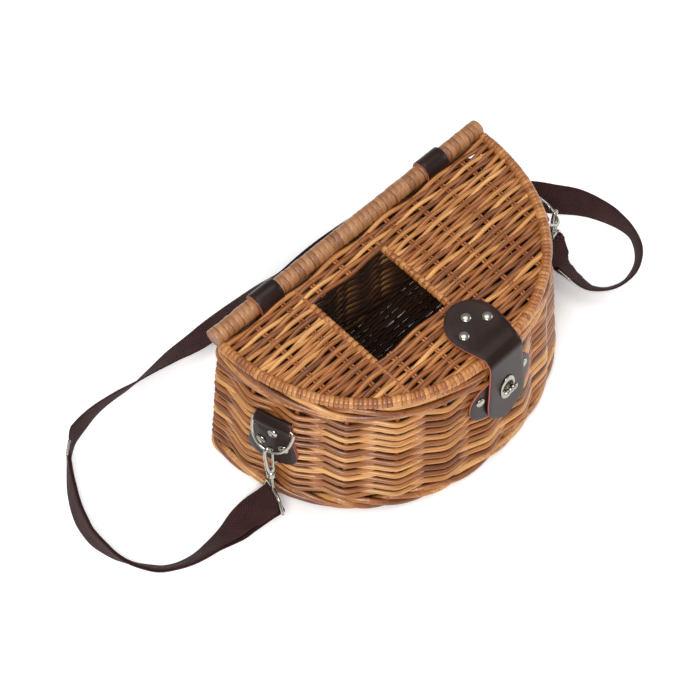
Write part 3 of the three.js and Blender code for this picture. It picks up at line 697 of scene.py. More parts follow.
def grain_group() -> bpy.types.NodeTree:
    """Builds the shader group that gives streaks along a rod and specks on it.

    Returns:
        The group, built once.
    """
    name = "Rod grain"
    if name in bpy.data.node_groups:
        return bpy.data.node_groups[name]
    nodes, given, target = new_group(
        name,
        "ShaderNodeTree",
        [
            Socket("Along", "NodeSocketFloat", 0.0),
            Socket("Around", "NodeSocketFloat", 0.0),
            Socket("Tone", "NodeSocketFloat", 0.5),
        ],
        [
            Socket("Streak", "NodeSocketFloat"),
            Socket("Patch", "NodeSocketFloat"),
            Socket("Speck", "NodeSocketFloat"),
            Socket("Normal", "NodeSocketVector"),
        ],
    )
    angle = nodes.math("MULTIPLY", given["Around"], 2 * math.pi)
    seat = nodes.math("MULTIPLY", given["Tone"], 31.0)
    cosine = nodes.math("COSINE", angle)
    sine = nodes.math("SINE", angle)
    results = []
    for length, round_scale, detail in ((18.0, 2.6, 4.0), (45.0, 0.5, 2.0), (700.0, 3.0, 1.0)):
        run = nodes.math("ADD", nodes.math("MULTIPLY", given["Along"], length), seat)
        place = nodes.add(
            "ShaderNodeCombineXYZ",
            {
                "X": run,
                "Y": nodes.math("MULTIPLY", cosine, round_scale),
                "Z": nodes.math("MULTIPLY", sine, round_scale),
            },
        )
        look = {"Vector": place.outputs[0], "Scale": 1.0, "Detail": detail, "Roughness": 0.6}
        results.append(nodes.add("ShaderNodeTexNoise", look).outputs[0])
    bump = nodes.add("ShaderNodeBump", {"Strength": 0.35, "Distance": 0.0006, "Height": results[0]})
    for name_out, value in zip(("Streak", "Patch", "Speck", "Normal"), (*results, bump.outputs[0])):
        nodes.join(value, target.inputs[name_out])
    return nodes.tree


@dataclass(frozen=True)
class Finish:
    """What every finish shares: a name and a material built once."""

    name: str

    def material(self) -> bpy.types.Material:
        """Gives the finish's material, building it the first time.

        Returns:
            The material.
        """
        if self.name in bpy.data.materials:
            return bpy.data.materials[self.name]
        material = bpy.data.materials.new(self.name)
        material.use_nodes = True
        material.node_tree.nodes.clear()
        nodes = Nodes(material.node_tree)
        surface = nodes.add("ShaderNodeBsdfPrincipled")
        nodes.add("ShaderNodeOutputMaterial", {"Surface": surface.outputs[0]})
        self.paint(nodes, surface)
        return material

    def paint(self, nodes: Nodes, surface: bpy.types.Node) -> None:
        """Sets the surface's inputs.

        Args:
            nodes: The material's tree.
            surface: The node that makes the surface.
        """
        raise NotImplementedError


@dataclass(frozen=True)
class Willow(Finish):
    """Varnished willow rods, lighter and darker rod by rod; where a piece stores a shade mask, the colour is
    darkened to painted shade.
    """

    dark: Colour = Colour(84, 40, 15)
    middle: Colour = Colour(150, 88, 38)
    light: Colour = Colour(220, 164, 98)
    roughness: float = 0.34
    # inner: the painted shade colour for the basket's dark inside, mixed in by the shade mask
    inner: Colour = Colour(40, 22, 13)
    tone_share: float = 0.46
    streak_share: float = 0.7
    patch_share: float = 0.3
    shade_drop: float = 0.26
    stops: tuple[float, float, float] = (0.17, 0.45, 0.79)
    specks: tuple[float, float] = (0.72, 0.8)
    coat: float = 0.2
    coat_roughness: float = 0.22

    def paint(self, nodes: Nodes, surface: bpy.types.Node) -> None:
        """Sets the surface's inputs.

        Args:
            nodes: The material's tree.
            surface: The node that makes the surface.
        """
        tone = attribute(nodes, "tone")
        grain = nodes.add("ShaderNodeGroup", node_tree=grain_group())
        for name in ("Along", "Around", "Tone"):
            nodes.join(attribute(nodes, name.lower()), grain.inputs[name])
        base = nodes.math("MULTIPLY", tone, self.tone_share)
        streaks = nodes.math("MULTIPLY", grain.outputs["Streak"], self.streak_share)
        patches = nodes.math("MULTIPLY", grain.outputs["Patch"], self.patch_share)
        shade = nodes.math("ADD", nodes.math("ADD", base, streaks), patches)
        shade = nodes.math("SUBTRACT", shade, self.shade_drop)
        ramp = nodes.add("ShaderNodeValToRGB", {"Fac": shade})
        stops = ramp.color_ramp.elements
        stops[0].position = self.stops[0]
        stops[0].color = self.dark.linear()
        stops[1].position = self.stops[2]
        stops[1].color = self.light.linear()
        stops.new(self.stops[1]).color = self.middle.linear()
        start, full = self.specks
        ends = {"Value": grain.outputs["Speck"], "From Min": start, "From Max": full}
        speck = nodes.add("ShaderNodeMapRange", ends)
        worn = mixed(nodes, speck.outputs[0], ramp.outputs[0], self.dark)
        # Painted shade: the stored shade mask mixes the colour towards the inner colour.
        colour = mixed(nodes, attribute(nodes, "shade"), worn, self.inner)
        nodes.fill(surface, {"Base Color": colour, "Normal": grain.outputs["Normal"]})
        nodes.fill(surface, {"Roughness": self.roughness, "Coat Weight": self.coat})
        nodes.fill(surface, {"Coat Roughness": self.coat_roughness})


@dataclass(frozen=True)
class Leather(Finish):
    """Smooth dark leather with pink cut edges."""

    body: Colour = Colour(31, 18, 15)
    worn: Colour = Colour(49, 31, 26)
    cut: Colour = Colour(170, 96, 86)
    roughness: float = 0.3
    smoother: float = 0.06
    rougher: float = 0.14
    cut_rougher: float = 0.4
    cloud_scale: float = 28.0
    pore_scale: float = 900.0
    wear: tuple[float, float] = (0.4, 0.75)
    shine: float = 0.2

    def paint(self, nodes: Nodes, surface: bpy.types.Node) -> None:
        """Sets the surface's inputs.

        Args:
            nodes: The material's tree.
            surface: The node that makes the surface.
        """
        place = nodes.add("ShaderNodeTexCoord").outputs["Object"]
        cloud = nodes.add("ShaderNodeTexNoise", {"Vector": place, "Scale": self.cloud_scale, "Detail": 5.0})
        pores = nodes.add("ShaderNodeTexVoronoi", {"Vector": place, "Scale": self.pore_scale})
        start, full = self.wear
        ends = {"Value": cloud.outputs[0], "From Min": start, "From Max": full}
        share = nodes.add("ShaderNodeMapRange", ends)
        skin = mixed(nodes, share.outputs[0], self.body, self.worn)
        colour = mixed(nodes, attribute(nodes, "raw"), skin, self.cut)
        smoothest, roughest = self.roughness - self.smoother, self.roughness + self.rougher
        ends = {"Value": cloud.outputs[0], "To Min": smoothest, "To Max": roughest}
        rough = nodes.add("ShaderNodeMapRange", ends)
        cut = nodes.math("MULTIPLY", attribute(nodes, "raw"), self.cut_rougher)
        rougher = nodes.math("ADD", rough.outputs[0], cut)
        low_relief = {"Strength": 0.25, "Distance": 0.0012, "Height": cloud.outputs[0]}
        dents = nodes.add("ShaderNodeBump", low_relief)
        bump = nodes.add(
            "ShaderNodeBump",
            {"Strength": 0.12, "Distance": 0.0003, "Height": pores.outputs[0], "Normal": dents.outputs[0]},
        )
        nodes.fill(surface, {"Base Color": colour, "Roughness": rougher, "Normal": bump.outputs[0]})
        nodes.fill(surface, {"Specular IOR Level": self.shine})


@dataclass(frozen=True)
class Webbing(Finish):
    """Tight dark webbing with crosswise ribs and firm edges; the weave's hollows are darkened as painted
    shade.
    """

    body: Colour = Colour(88, 52, 50)
    # deep: the painted shade colour of the weave's hollows
    deep: Colour = Colour(20, 11, 12)
    width: float = 0.038
    rib: float = 0.0023
    cords: float = 9.0
    fuzz_scale: float = 60.0
    roughness: float = 0.85
    shine: float = 0.2

    def paint(self, nodes: Nodes, surface: bpy.types.Node) -> None:
        """Sets the surface's inputs.

        Args:
            nodes: The material's tree.
            surface: The node that makes the surface.
        """
        along, across = attribute(nodes, "along"), attribute(nodes, "across")
        ribs = nodes.math("SINE", nodes.math("MULTIPLY", along, 2 * math.pi / self.rib))
        cords = nodes.math("SINE", nodes.math("MULTIPLY", across, 2 * math.pi * self.cords))
        weave = nodes.math("MULTIPLY", ribs, cords)
        height = nodes.math("ADD", nodes.math("MULTIPLY", weave, 0.5), 0.5)
        place = nodes.add("ShaderNodeTexCoord").outputs["Object"]
        cloud = nodes.add("ShaderNodeTexNoise", {"Vector": place, "Scale": self.fuzz_scale, "Detail": 4.0})
        share = nodes.math("MULTIPLY", height, nodes.math("ADD", cloud.outputs[0], 0.2))
        # Painted shade: the low parts of the weave, broken up by a noise, mix towards the deep colour.
        colour = mixed(nodes, share, self.deep, self.body)
        bump = nodes.add("ShaderNodeBump", {"Strength": 0.9, "Distance": 0.0005, "Height": height})
        nodes.fill(surface, {"Base Color": colour, "Normal": bump.outputs[0]})
        nodes.fill(surface, {"Roughness": self.roughness, "Specular IOR Level": self.shine})


@dataclass(frozen=True)
class Nickel(Finish):
    """Bright nickel plate with faint scuffs."""

    body: Colour = Colour(164, 160, 150)
    roughness: float = 0.15
    smoother: float = 0.08
    rougher: float = 0.14
    scuff_scale: float = 240.0

    def paint(self, nodes: Nodes, surface: bpy.types.Node) -> None:
        """Sets the surface's inputs.

        Args:
            nodes: The material's tree.
            surface: The node that makes the surface.
        """
        place = nodes.add("ShaderNodeTexCoord").outputs["Object"]
        scuff = nodes.add("ShaderNodeTexNoise", {"Vector": place, "Scale": self.scuff_scale, "Detail": 3.0})
        smoothest, roughest = self.roughness - self.smoother, self.roughness + self.rougher
        ends = {"Value": scuff.outputs[0], "To Min": smoothest, "To Max": roughest}
        rough = nodes.add("ShaderNodeMapRange", ends)
        nodes.fill(surface, {"Roughness": rough.outputs[0], "Metallic": 1.0})
        nodes.fill(surface, {"Base Color": self.body.linear()})


@dataclass(frozen=True)
class Plain(Finish):
    """One even colour, for the studio floor, with a painted glow that starts a set distance out from the
    middle.
    """

    body: Colour = Colour(250, 250, 250)
    roughness: float = 0.9
    # The floor's painted glow: none within clear of the middle, rising to glow at clear times fade.
    glow: float = 0.34
    clear: float = 0.19
    fade: float = 1.4

    def paint(self, nodes: Nodes, surface: bpy.types.Node) -> None:
        """Sets the surface's inputs.

        Args:
            nodes: The material's tree.
            surface: The node that makes the surface.
        """
        place = nodes.add("ShaderNodeTexCoord").outputs["Object"]
        # Painted light: the floor glows away from the basket, and not near it.
        away = nodes.add("ShaderNodeVectorMath", {0: place}, operation="LENGTH").outputs["Value"]
        ends = {"Value": away, "From Min": self.clear, "From Max": self.clear * self.fade}
        glow = nodes.add("ShaderNodeMapRange", {**ends, "To Max": self.glow})
        nodes.fill(surface, {"Emission Strength": glow.outputs[0], "Roughness": self.roughness})
        nodes.fill(surface, {"Base Color": self.body.linear(), "Emission Color": self.body.linear()})


WILLOW = Willow("Willow")
RAIL_SKEIN = Willow("Rail skein", Colour(96, 56, 33), Colour(144, 94, 57), Colour(180, 131, 86), 0.44)
LEATHER = Leather("Leather")
WEBBING = Webbing("Webbing")
NICKEL = Nickel("Nickel")
FLOOR = Plain("Studio floor")


# The basket's form


@dataclass(frozen=True)
class Form:
    """The basket's D-shaped form and the places measured from it, in metres."""

    height: float = 0.180
    back: float = 0.114
    base_half: float = 0.2145
    base_depth: float = 0.228
    top_half: float = 0.1895
    top_depth: float = 0.208
    roundness: float = 2.15
    corner: float = 0.014

    def half(self, z: float) -> float:
        """Half the width at a height."""
        return self.base_half + (self.top_half - self.base_half) * z / self.height

    def depth(self, z: float) -> float:
        """Depth from back to front at a height."""
        return self.base_depth + (self.top_depth - self.base_depth) * z / self.height

    def curve(self, u: Array) -> tuple[Array, Array]:
        """The shares of the half width and of the depth that a rounded front reaches.

        Args:
            u: Stations, from 0 at the right to pi at the left.

        Returns:
            The shares of the half width and of the depth.
        """
        power = 2 / self.roundness
        return np.sign(np.cos(u)) * np.abs(np.cos(u)) ** power, np.abs(np.sin(u)) ** power

    def width_share(self, depth_share: float) -> float:
        """The share of the half width at a share of the depth."""
        share = min(1.0, max(0.0, depth_share))
        return max(0.0, 1 - share**self.roundness) ** (1 / self.roundness)

    def front(self, z: float, u: Array) -> Array:
        """Points of the outline's front at stations u, from 0 at the right to pi at the left.

        Args:
            z: Height in metres.
            u: Stations.

        Returns:
            The points, two numbers each.
        """
        x, y = self.curve(u)
        start = self.back - self.corner
        return np.stack([self.half(z) * x, start - (self.depth(z) - self.corner) * y], axis=-1)

    def loop(self, z: float, shares: Array, inset: float = 0.0) -> tuple[Array, Array]:
        """Places round the whole outline.

        Args:
            z: Height in metres.
            shares: Shares of the way round, from the right back corner past the front.
            inset: How far in from the outline.

        Returns:
            The places and the outward directions, two numbers each.
        """
        u = np.linspace(0, math.pi, 500)
        arc = np.linspace(0, math.pi / 2, 12)
        flat = self.half(z) - self.corner
        left = np.stack([-flat - self.corner * np.cos(arc), self.corner * np.sin(arc)], axis=-1)
        right = np.stack([flat + self.corner * np.sin(arc), self.corner * np.cos(arc)], axis=-1)
        base = np.array([0, self.back - self.corner])
        points = np.vstack([self.front(z, u), left[1:] + base, right[:-1] + base, self.front(z, u[:1])])
        along = distances(points)
        wanted = np.mod(shares, 1.0) * along[-1]
        place = read_rows(points, along, wanted)
        reach = 0.002
        steps = []
        for sign in (-1, 1):
            near = np.mod(wanted + sign * reach, along[-1])
            steps.append(read_rows(points, along, near))
        run = unit(steps[1] - steps[0])
        out = np.stack([-run[..., 1], run[..., 0]], axis=-1)
        out *= np.where(np.sum(out * (place - np.array([0, 0.02])), axis=-1, keepdims=True) > 0, 1, -1)
        return place - out * inset, out

    def wall_frame(self, u: float, z: float) -> tuple[Array, Array, Array, Array, float]:
        """The wall's outer face at a station and height.

        Args:
            u: The station.
            z: Height in metres.

        Returns:
            The place, the directions along the wall, up it and out of it, and the speed of u.
        """
        step = 0.001
        here = self.front(z, np.array(u))
        before = self.front(z, np.array(u - step))
        after = self.front(z, np.array(u + step))
        above = self.front(z + 0.001, np.array(u))
        along = np.array([*(before - after), 0.0])
        speed = float(np.linalg.norm(along)) / (2 * step)
        along = unit(along)
        rise = unit(np.array([*(above - here), 0.001]))
        return np.array([*here, z]), along, rise, unit(np.cross(along, rise)), speed

    def place(self, u: float, z: float, across: float, up: float, out: float) -> Frame:
        """A place beside a station: across the wall, up it and out from it.

        Args:
            u: The station.
            z: Height in metres.
            across: Distance along the wall.
            up: Distance up the wall.
            out: Distance out from it.

        Returns:
            The place and the directions along, up and out.
        """
        speed = self.wall_frame(u, z)[4]
        point, along, rise, face, _ = self.wall_frame(u - across / speed, z)
        return point + rise * up + face * out, along, rise, face


FORM = Form()


def shade_inside(
    obj: Thing, start: float = 0.0058, over: float = 0.003, skin: float = 0.0015
) -> Thing:
    """Stores a painted shade mask on the parts of a willow piece that lie in from the outline or face the
    basket's middle; the willow finish darkens them as painted shade.

    Args:
        obj: The piece.
        start: How far in from the outline the painted shade begins.
        over: The distance over which it grows to full.
        skin: How far in a face turned to the middle begins to count as inside and take painted shade.

    Returns:
        The piece.
    """
    x, y, z = read_vectors(obj.data, "co").T
    across = np.abs(x) / FORM.half(z)
    reach = np.maximum(0.0, FORM.back - FORM.corner - y) / (FORM.depth(z) - FORM.corner)
    radius = (across**FORM.roundness + reach**FORM.roundness) ** (1 / FORM.roundness)
    inset = np.minimum((1 - radius) * FORM.top_half, FORM.back - y)
    deep = (inset - start) / over
    normals = read_vectors(obj.data, "normal")
    facing = -np.sum(normals[:, :2] * unit(np.column_stack([x, y])), axis=-1)
    turned = np.where(inset > skin, (facing - 0.1) / 0.5, 0.0)
    # Painted shade: this mask darkens the marked parts in the willow finish.
    store(obj.data, "shade", np.clip(np.maximum(deep, turned), 0.0, 0.97))
    return obj


# Woven parts


@dataclass(frozen=True)
class Wall:
    """The wall: rows of two rods twined round upright stakes."""

    rows: int = 12
    low: float = 0.0262
    pitch: float = 0.01135
    stakes: int = 20
    phase: float = 0.3
    rod: float = 0.0031
    stake_rod: float = 0.0028
    stake_ends: tuple[float, float] = (0.012, 0.166)
    middle: float = 0.0052
    swing: float = 0.0052
    rise: float = 0.0028
    wobble: float = 0.0003
    sag: float = 0.0004
    step: float = 0.004

    def row(self, number: int, lead: int, rng: np.random.Generator) -> Rod:
        """One rod of one row.

        Args:
            number: Which row, from the bottom.
            lead: 0 or 1, which of the two rods.
            rng: Random numbers.

        Returns:
            The rod.
        """
        z = self.low + self.pitch * number
        shares = (np.arange(self.stakes) + self.phase) / self.stakes
        place, out = FORM.loop(z, shares)
        outside = np.where((np.arange(self.stakes) + lead) % 2 == 0, 1.0, -1.0)
        radial = -self.middle + outside * self.swing + rng.normal(0, self.wobble, self.stakes)
        knots = place + out * radial[:, None]
        plain = place - out * self.middle
        middles = (plain + np.roll(plain, -1, axis=0)) / 2
        controls = []
        for i in range(self.stakes):
            controls.append([*knots[i], z + rng.normal(0, self.sag)])
            controls.append([*middles[i], z + outside[i] * self.rise + rng.normal(0, self.wobble)])
        controls = np.array(controls)
        rows = resample(np.vstack([controls, controls[:1]]), self.step)[:-1]
        line = blur(rows, 3, True)
        tones = rng.random(self.stakes)
        share = np.linspace(0, self.stakes, len(line), endpoint=False)
        tone = tones[(np.floor((share + 0.5 + lead) / 2).astype(int)) % self.stakes]
        girth = self.rod * (0.93 + 0.14 * np.interp(share, np.arange(self.stakes), rng.random(self.stakes)))
        return Rod(line, girth, blur(tone[:, None], 3, True)[:, 0], True)

    def build(self) -> Thing:
        """Builds the wall.

        Returns:
            The wall.
        """
        rng = np.random.default_rng(SEED)
        rods = [self.row(i, lead, rng) for i in range(self.rows) for lead in (0, 1)]
        shares = (np.arange(self.stakes) + self.phase) / self.stakes
        low, high = self.stake_ends
        bottom, _ = FORM.loop(low, shares, self.middle)
        top, _ = FORM.loop(high, shares, self.middle)
        for a, b in zip(bottom, top):
            line = np.array([[*a, low], [*b, high]])
            rods.append(Rod(resample(line, 0.02), self.stake_rod, 0.25 + 0.3 * rng.random()))
        return shade_inside(sweep("wall weave", rods, 8, WILLOW.material()))


@dataclass(frozen=True)
class Border:
    """A border of long rods that twist slowly round each other."""

    name: str
    z: float
    inset: float
    rods: int
    girth: float
    tall: float
    deep: float
    turns: int
    step: float = 0.005
    length: float = 1.1
    wander: float = 0.35
    spread: float = 5.0

    def build(self) -> Thing:
        """Builds the border.

        Returns:
            The border.
        """
        rng = np.random.default_rng(SEED + self.rods + self.turns)
        count = int(self.length / self.step)
        shares = np.linspace(0, 1, count, endpoint=False)
        place, out = FORM.loop(self.z, shares, self.inset)
        rods = []
        for i in range(self.rods):
            wander = blur(rng.normal(0, self.wander, count)[:, None], 60, True)[:, 0]
            angle = 2 * math.pi * (shares * self.turns + i / self.rods) + wander * 6
            x = place + out * (self.deep * np.cos(angle))[:, None]
            z = self.z + self.tall * np.sin(angle)
            line = blur(np.column_stack([x, z]), 4, True)
            tone = blur(rng.random(count)[:, None], 40, True)[:, 0]
            rods.append(Rod(line, self.girth, np.clip(0.5 + self.spread * (tone - 0.5), 0.1, 0.95), True))
        return shade_inside(sweep(self.name, rods, 10, WILLOW.material()))


@dataclass(frozen=True)
class Window:
    """A square hole in a flat weave."""

    left: float
    right: float
    front: float
    back: float


@dataclass(frozen=True)
class Mat:
    """A flat weave: single rods along X, over and under paired sticks along Y."""

    name: str
    z: float
    front: float
    back: float
    pitch: float
    rod: float
    stick: float
    swing: float
    bays: int
    window: Window | None = None
    drift: float = 0.0009
    lean: float = 0.0006
    squareness: float = 0.7
    step: float = 0.004
    twin: float = 1.15
    shortest: float = 0.01

    def edge(self, y: float) -> float:
        """Half the weave's width at a distance back."""
        raise NotImplementedError

    def spans(self, y: float) -> list[tuple[float, float]]:
        """The stretches of X the weave covers at a distance back.

        Args:
            y: Distance back in metres.

        Returns:
            Starts and ends of the stretches.
        """
        reach = self.edge(y)
        hole = self.window
        if hole and hole.front < y < hole.back:
            return [(-reach, hole.left), (hole.right, reach)]
        return [(-reach, reach)]

    def rods(self) -> list[Rod]:
        """The weave's rods and sticks.

        Returns:
            The rods.
        """
        rng = np.random.default_rng(SEED + len(self.name))
        made = []
        bay = 2 * self.edge(self.back) / self.bays
        count = int(round((self.back - self.front) / self.pitch))
        for i in range(count + 1):
            y = self.front + (self.back - self.front) * i / count
            side = 1 if i % 2 else -1
            for start, stop in self.spans(y):
                steps = max(3, int((stop - start) / self.step))
                x = np.linspace(start, stop, steps)
                drift = np.interp(x, np.linspace(start, stop, 9), rng.normal(0, self.drift, 9))
                wave = np.cos(math.pi * x / bay)
                z = self.z + side * self.swing * np.sign(wave) * np.abs(wave) ** self.squareness
                lean = side * self.lean * wave
                line = blur(np.column_stack([x, y + drift + lean, z]), 5, False)
                made.append(Rod(line, self.rod * rng.uniform(0.88, 1.08), rng.random()))
        for i in range(-self.bays // 2, self.bays // 2 + 1):
            for twin in (-1, 1):
                x = i * bay + twin * self.stick * self.twin
                for start, stop in self.stick_spans(x):
                    line = np.array([[x, start, self.z], [x, stop, self.z]])
                    if stop - start > self.shortest:
                        made.append(Rod(resample(line, 0.02), self.stick, 0.15 + 0.4 * rng.random()))
        return made

    def stick_spans(self, x: float) -> list[tuple[float, float]]:
        """The stretches of Y a stick at x covers.

        Args:
            x: Where the stick stands.

        Returns:
            Starts and ends of the stretches.
        """
        grid = np.linspace(self.front, self.back, 60)
        inside = [y for y in grid if self.edge(y) > abs(x) + 0.002]
        if not inside:
            return []
        hole = self.window
        if hole and hole.left < x < hole.right:
            return [(inside[0], hole.front), (hole.back, self.back)]
        return [(inside[0], self.back)]


@dataclass(frozen=True)
class LidMat(Mat):
    """The lid's weave, inside its edge stick."""

    half: float = 0.1815
    rail_y: float = 0.1022
    reach: float = 0.1877

    def edge(self, y: float) -> float:
        """Half the weave's width at a distance back."""
        return self.half * FORM.width_share((self.rail_y - y) / self.reach)


@dataclass(frozen=True)
class FloorMat(Mat):
    """The basket floor's weave, inside the foot border."""

    inset: float = 0.0135
    level: float = 0.004

    def edge(self, y: float) -> float:
        """Half the weave's width at a distance back.

        Args:
            y: Distance back in metres.

        Returns:
            Half the width.
        """
        depth = FORM.depth(self.level) - FORM.corner - self.inset
        share = FORM.width_share((FORM.back - FORM.corner - y) / depth)
        return (FORM.half(self.level) - self.inset) * share


def band_mesh(
    name: str, radius: float, width: float, thick: float, sides: int = 20, flat: float = 0.6
) -> Mesh:
    """A ring of skein for wrapping round a stick, its axis along Z.

    Args:
        name: The mesh's name.
        radius: The band's outer radius in metres.
        width: Its width along the stick.
        thick: How thick the skein is.
        sides: Facets round.
        flat: The share of the width that is flat.

    Returns:
        The mesh.
    """
    half = width / 2
    profile = [
        (radius - thick, -half * 0.9),
        (radius - thick * 0.35, -half),
        (radius - thick * 0.05, -half * flat),
        (radius, 0.0),
        (radius - thick * 0.05, half * flat),
        (radius - thick * 0.35, half),
        (radius - thick, half * 0.9),
    ]
    return lathe_mesh(name, profile, sides)


@dataclass(frozen=True)
class LidLook:
    """The lid: weave, wrapped edge stick, wrapped rail and wrapped hole sides."""

    half: float = 0.190
    edge_r: float = 0.0055
    rail_r: float = 0.0095
    rail_length: float = 0.374
    rail_y: float = 0.112
    top: float = 0.1893
    bottom: float = 0.1803
    depth: float = 0.206
    window: Window = Window(-0.087, 0.007, -0.017, 0.075)
    hole_stick: float = 0.003

    def hole_sides(self) -> tuple[float, float]:
        """Where the sticks beside the hole stand along X."""
        return self.window.left - self.hole_stick, self.window.right + self.hole_stick

    def edge_line(self) -> Array:
        """The edge stick's line, from the right of the rail round the front to its left.

        Returns:
            Places along the stick.
        """
        u = np.linspace(0, math.pi, 400)
        back = self.rail_y - self.rail_r - GAP
        reach = self.depth - (self.rail_y - back) - self.edge_r
        x, y = FORM.curve(u)
        height = np.full(len(u), self.bottom + self.edge_r)
        return np.column_stack([(self.half - self.edge_r) * x, back - reach * y, height])

    def wraps(
        self, name: str, line: Array, pitch: float, mesh: Mesh, finish: Finish, lean: float = 0.06
    ) -> Thing:
        """Skein bands all along a stick.

        Args:
            name: The piece's plain name.
            line: The stick's line.
            pitch: Distance from band to band.
            mesh: One band.
            finish: Its finish.
            lean: How far a band may lean at random.

        Returns:
            The bands as one object.
        """
        rng = np.random.default_rng(SEED + len(name))
        rows = resample(line, pitch)
        middle = (rows[1:] + rows[:-1]) / 2
        heading = rows[1:] - rows[:-1]
        sizes = 1 + rng.normal(0, 0.02, (len(middle), 3)) * np.array([1, 1, 2.5])
        return repeat(name, mesh, middle, heading, np.clip(sizes, 0.94, 1.05), finish.material(), lean)

    def build(self) -> list[Thing]:
        """Builds the lid's willow pieces.

        Returns:
            The weave, edge, rail, both cores and the hole's wrapped sides.
        """
        middle = (self.top + self.bottom) / 2
        hole = self.window
        mat = LidMat(
            "lid weave", z=middle, front=-0.0805, back=0.0985, pitch=0.0045, rod=0.0026,
            stick=0.0014, swing=0.0023, bays=10, window=hole, drift=0.0008,
        )
        weave = sweep("lid weave", self.frame_rods() + mat.rods(), 8, WILLOW.material())
        edge_band = band_mesh("edge band", 0.0056, 0.0046, 0.0012)
        edge = self.wraps("lid edge wraps", self.edge_line(), 0.0046, edge_band, WILLOW)
        z = self.bottom + self.rail_r
        half = self.rail_length / 2
        rail_line = np.array([[-half, self.rail_y, z], [half, self.rail_y, z]])
        rail_band = band_mesh("rail band", 0.0096, 0.0067, 0.0011, 28, 0.9)
        rail = self.wraps("rail wraps", rail_line, 0.0068, rail_band, RAIL_SKEIN, 0.11)
        core_rod = Rod(resample(rail_line * [0.995, 1, 1], 0.02), 0.0088, 0.2)
        core = sweep("rail core", [core_rod], 16, RAIL_SKEIN.material())
        edge_rod = Rod(resample(self.edge_line(), 0.006), 0.0046, 0.2)
        core_edge = sweep("edge core", [edge_rod], 8, WILLOW.material())
        sides = []
        for x in self.hole_sides():
            sides.append(np.array([[x, hole.front, middle], [x, hole.back, middle]]))
        band = band_mesh("hole band", 0.0042, 0.0052, 0.0014, 14)
        wrapped = [self.wraps(f"hole wraps {i}", line, 0.0064, band, WILLOW) for i, line in enumerate(sides)]
        return [weave, edge, rail, core, core_edge, *wrapped]

    def frame_rods(self) -> list[Rod]:
        """The sticks beside the hole.

        Returns:
            The rods.
        """
        z = (self.top + self.bottom) / 2
        rods = []
        for x in self.hole_sides():
            rods.append(Rod(resample(np.array([[x, -0.07, z], [x, 0.098, z]]), 0.01), 0.0028, 0.3))
        return rods


# Leather pieces and the metal they hold


@dataclass(frozen=True)
class Loops:
    """The two leather loops that hold the lid's rail to the rim."""

    x: float = 0.117
    width: float = 0.030
    leather: float = LEATHER_THICKNESS
    gap: float = GAP
    rail_z: float = 0.1898
    rail_y: float = 0.112
    rail_r: float = 0.0095

    def section(self, offset: float) -> Array:
        """The loop's convex section of Y and Z at an offset from the rail and the rim.

        Args:
            offset: Distance out from the rail and the rim.

        Returns:
            Rows of Y and Z.
        """
        back, front, low, high = 0.111, 0.103, 0.163, 0.180
        balls = [
            (self.rail_y, self.rail_z, self.rail_r),
            (back, low, 0.005),
            (front, 0.158, 0.0),
            (front, high, 0.0),
        ]
        rows = []
        for angle in np.linspace(0, 2 * math.pi, 240, endpoint=False):
            way = np.array([math.cos(angle), math.sin(angle)])
            reaches = [ball[0] * way[0] + ball[1] * way[1] + ball[2] for ball in balls]
            y, z, r = balls[reaches.index(max(reaches))]
            rows.append([y + (r + offset) * way[0], z + (r + offset) * way[1]])
        return np.array(rows)

    def build(self) -> list[Thing]:
        """Builds both loops.

        Returns:
            The left loop and the right one.
        """
        made = []
        section = self.section(self.gap + self.leather / 2)
        shares = lined([-0.6, -0.2, 0.2, 0.6], 0.04)
        for name, side in (("left", -1), ("right", 1)):
            rows = np.column_stack([np.zeros(len(section)), section])
            rows = resample(np.vstack([rows, rows[:1]]), 0.0015)
            run = unit(np.roll(rows[:-1], -1, axis=0) - np.roll(rows[:-1], 1, axis=0))
            run = np.vstack([run, run[:1]])
            out = np.column_stack([np.zeros(len(run)), run[:, 2], -run[:, 1]])
            centre = rows[:, None, :] + np.zeros((1, len(shares), 3))
            centre[:, :, 0] = side * self.x + shares[None, :] * self.width / 2
            outs = np.repeat(out[:, None, :], len(shares), axis=1)
            mesh = Hide(centre, outs, self.leather, 0.75).mesh(f"hinge loop {name}")
            made.append(add_object(f"hinge loop {name}", mesh, LEATHER.material()))
        return made


class Side(Enum):
    """The bag's two ends, as seen from the front."""

    LEFT = "left"
    RIGHT = "right"


@dataclass(frozen=True)
class RivetLook:
    """A domed rivet cap."""

    radius: float = 0.0057
    dome: float = 0.0027
    lift: float = 0.0001

    def mesh(self) -> Mesh:
        """Builds the cap, standing on Z = 0.

        Returns:
            The mesh.
        """
        r, h = self.radius, self.dome
        profile = [(0.0, 0.0), (r * 0.94, 0.0), (r, h * 0.16), (r * 0.97, h * 0.3)]
        for angle in np.linspace(0.35, math.pi / 2, 8):
            profile.append((r * 0.95 * math.cos(angle), h * (0.25 + 0.75 * math.sin(angle))))
        profile[-1] = (0.0, h)
        return lathe_mesh("rivet", profile, 24)

    def build(self, name: str, seats: Seats) -> Thing:
        """Sets caps on seats of place and outward direction.

        Args:
            name: The piece's plain name.
            seats: Place and outward direction of each cap.

        Returns:
            The caps as one object.
        """
        places = np.array([seat[0] for seat in seats])
        outs = np.array([seat[1] for seat in seats])
        sizes = np.ones((len(seats), 3))
        return repeat(name, self.mesh(), places + outs * self.lift, outs, sizes, NICKEL.material())


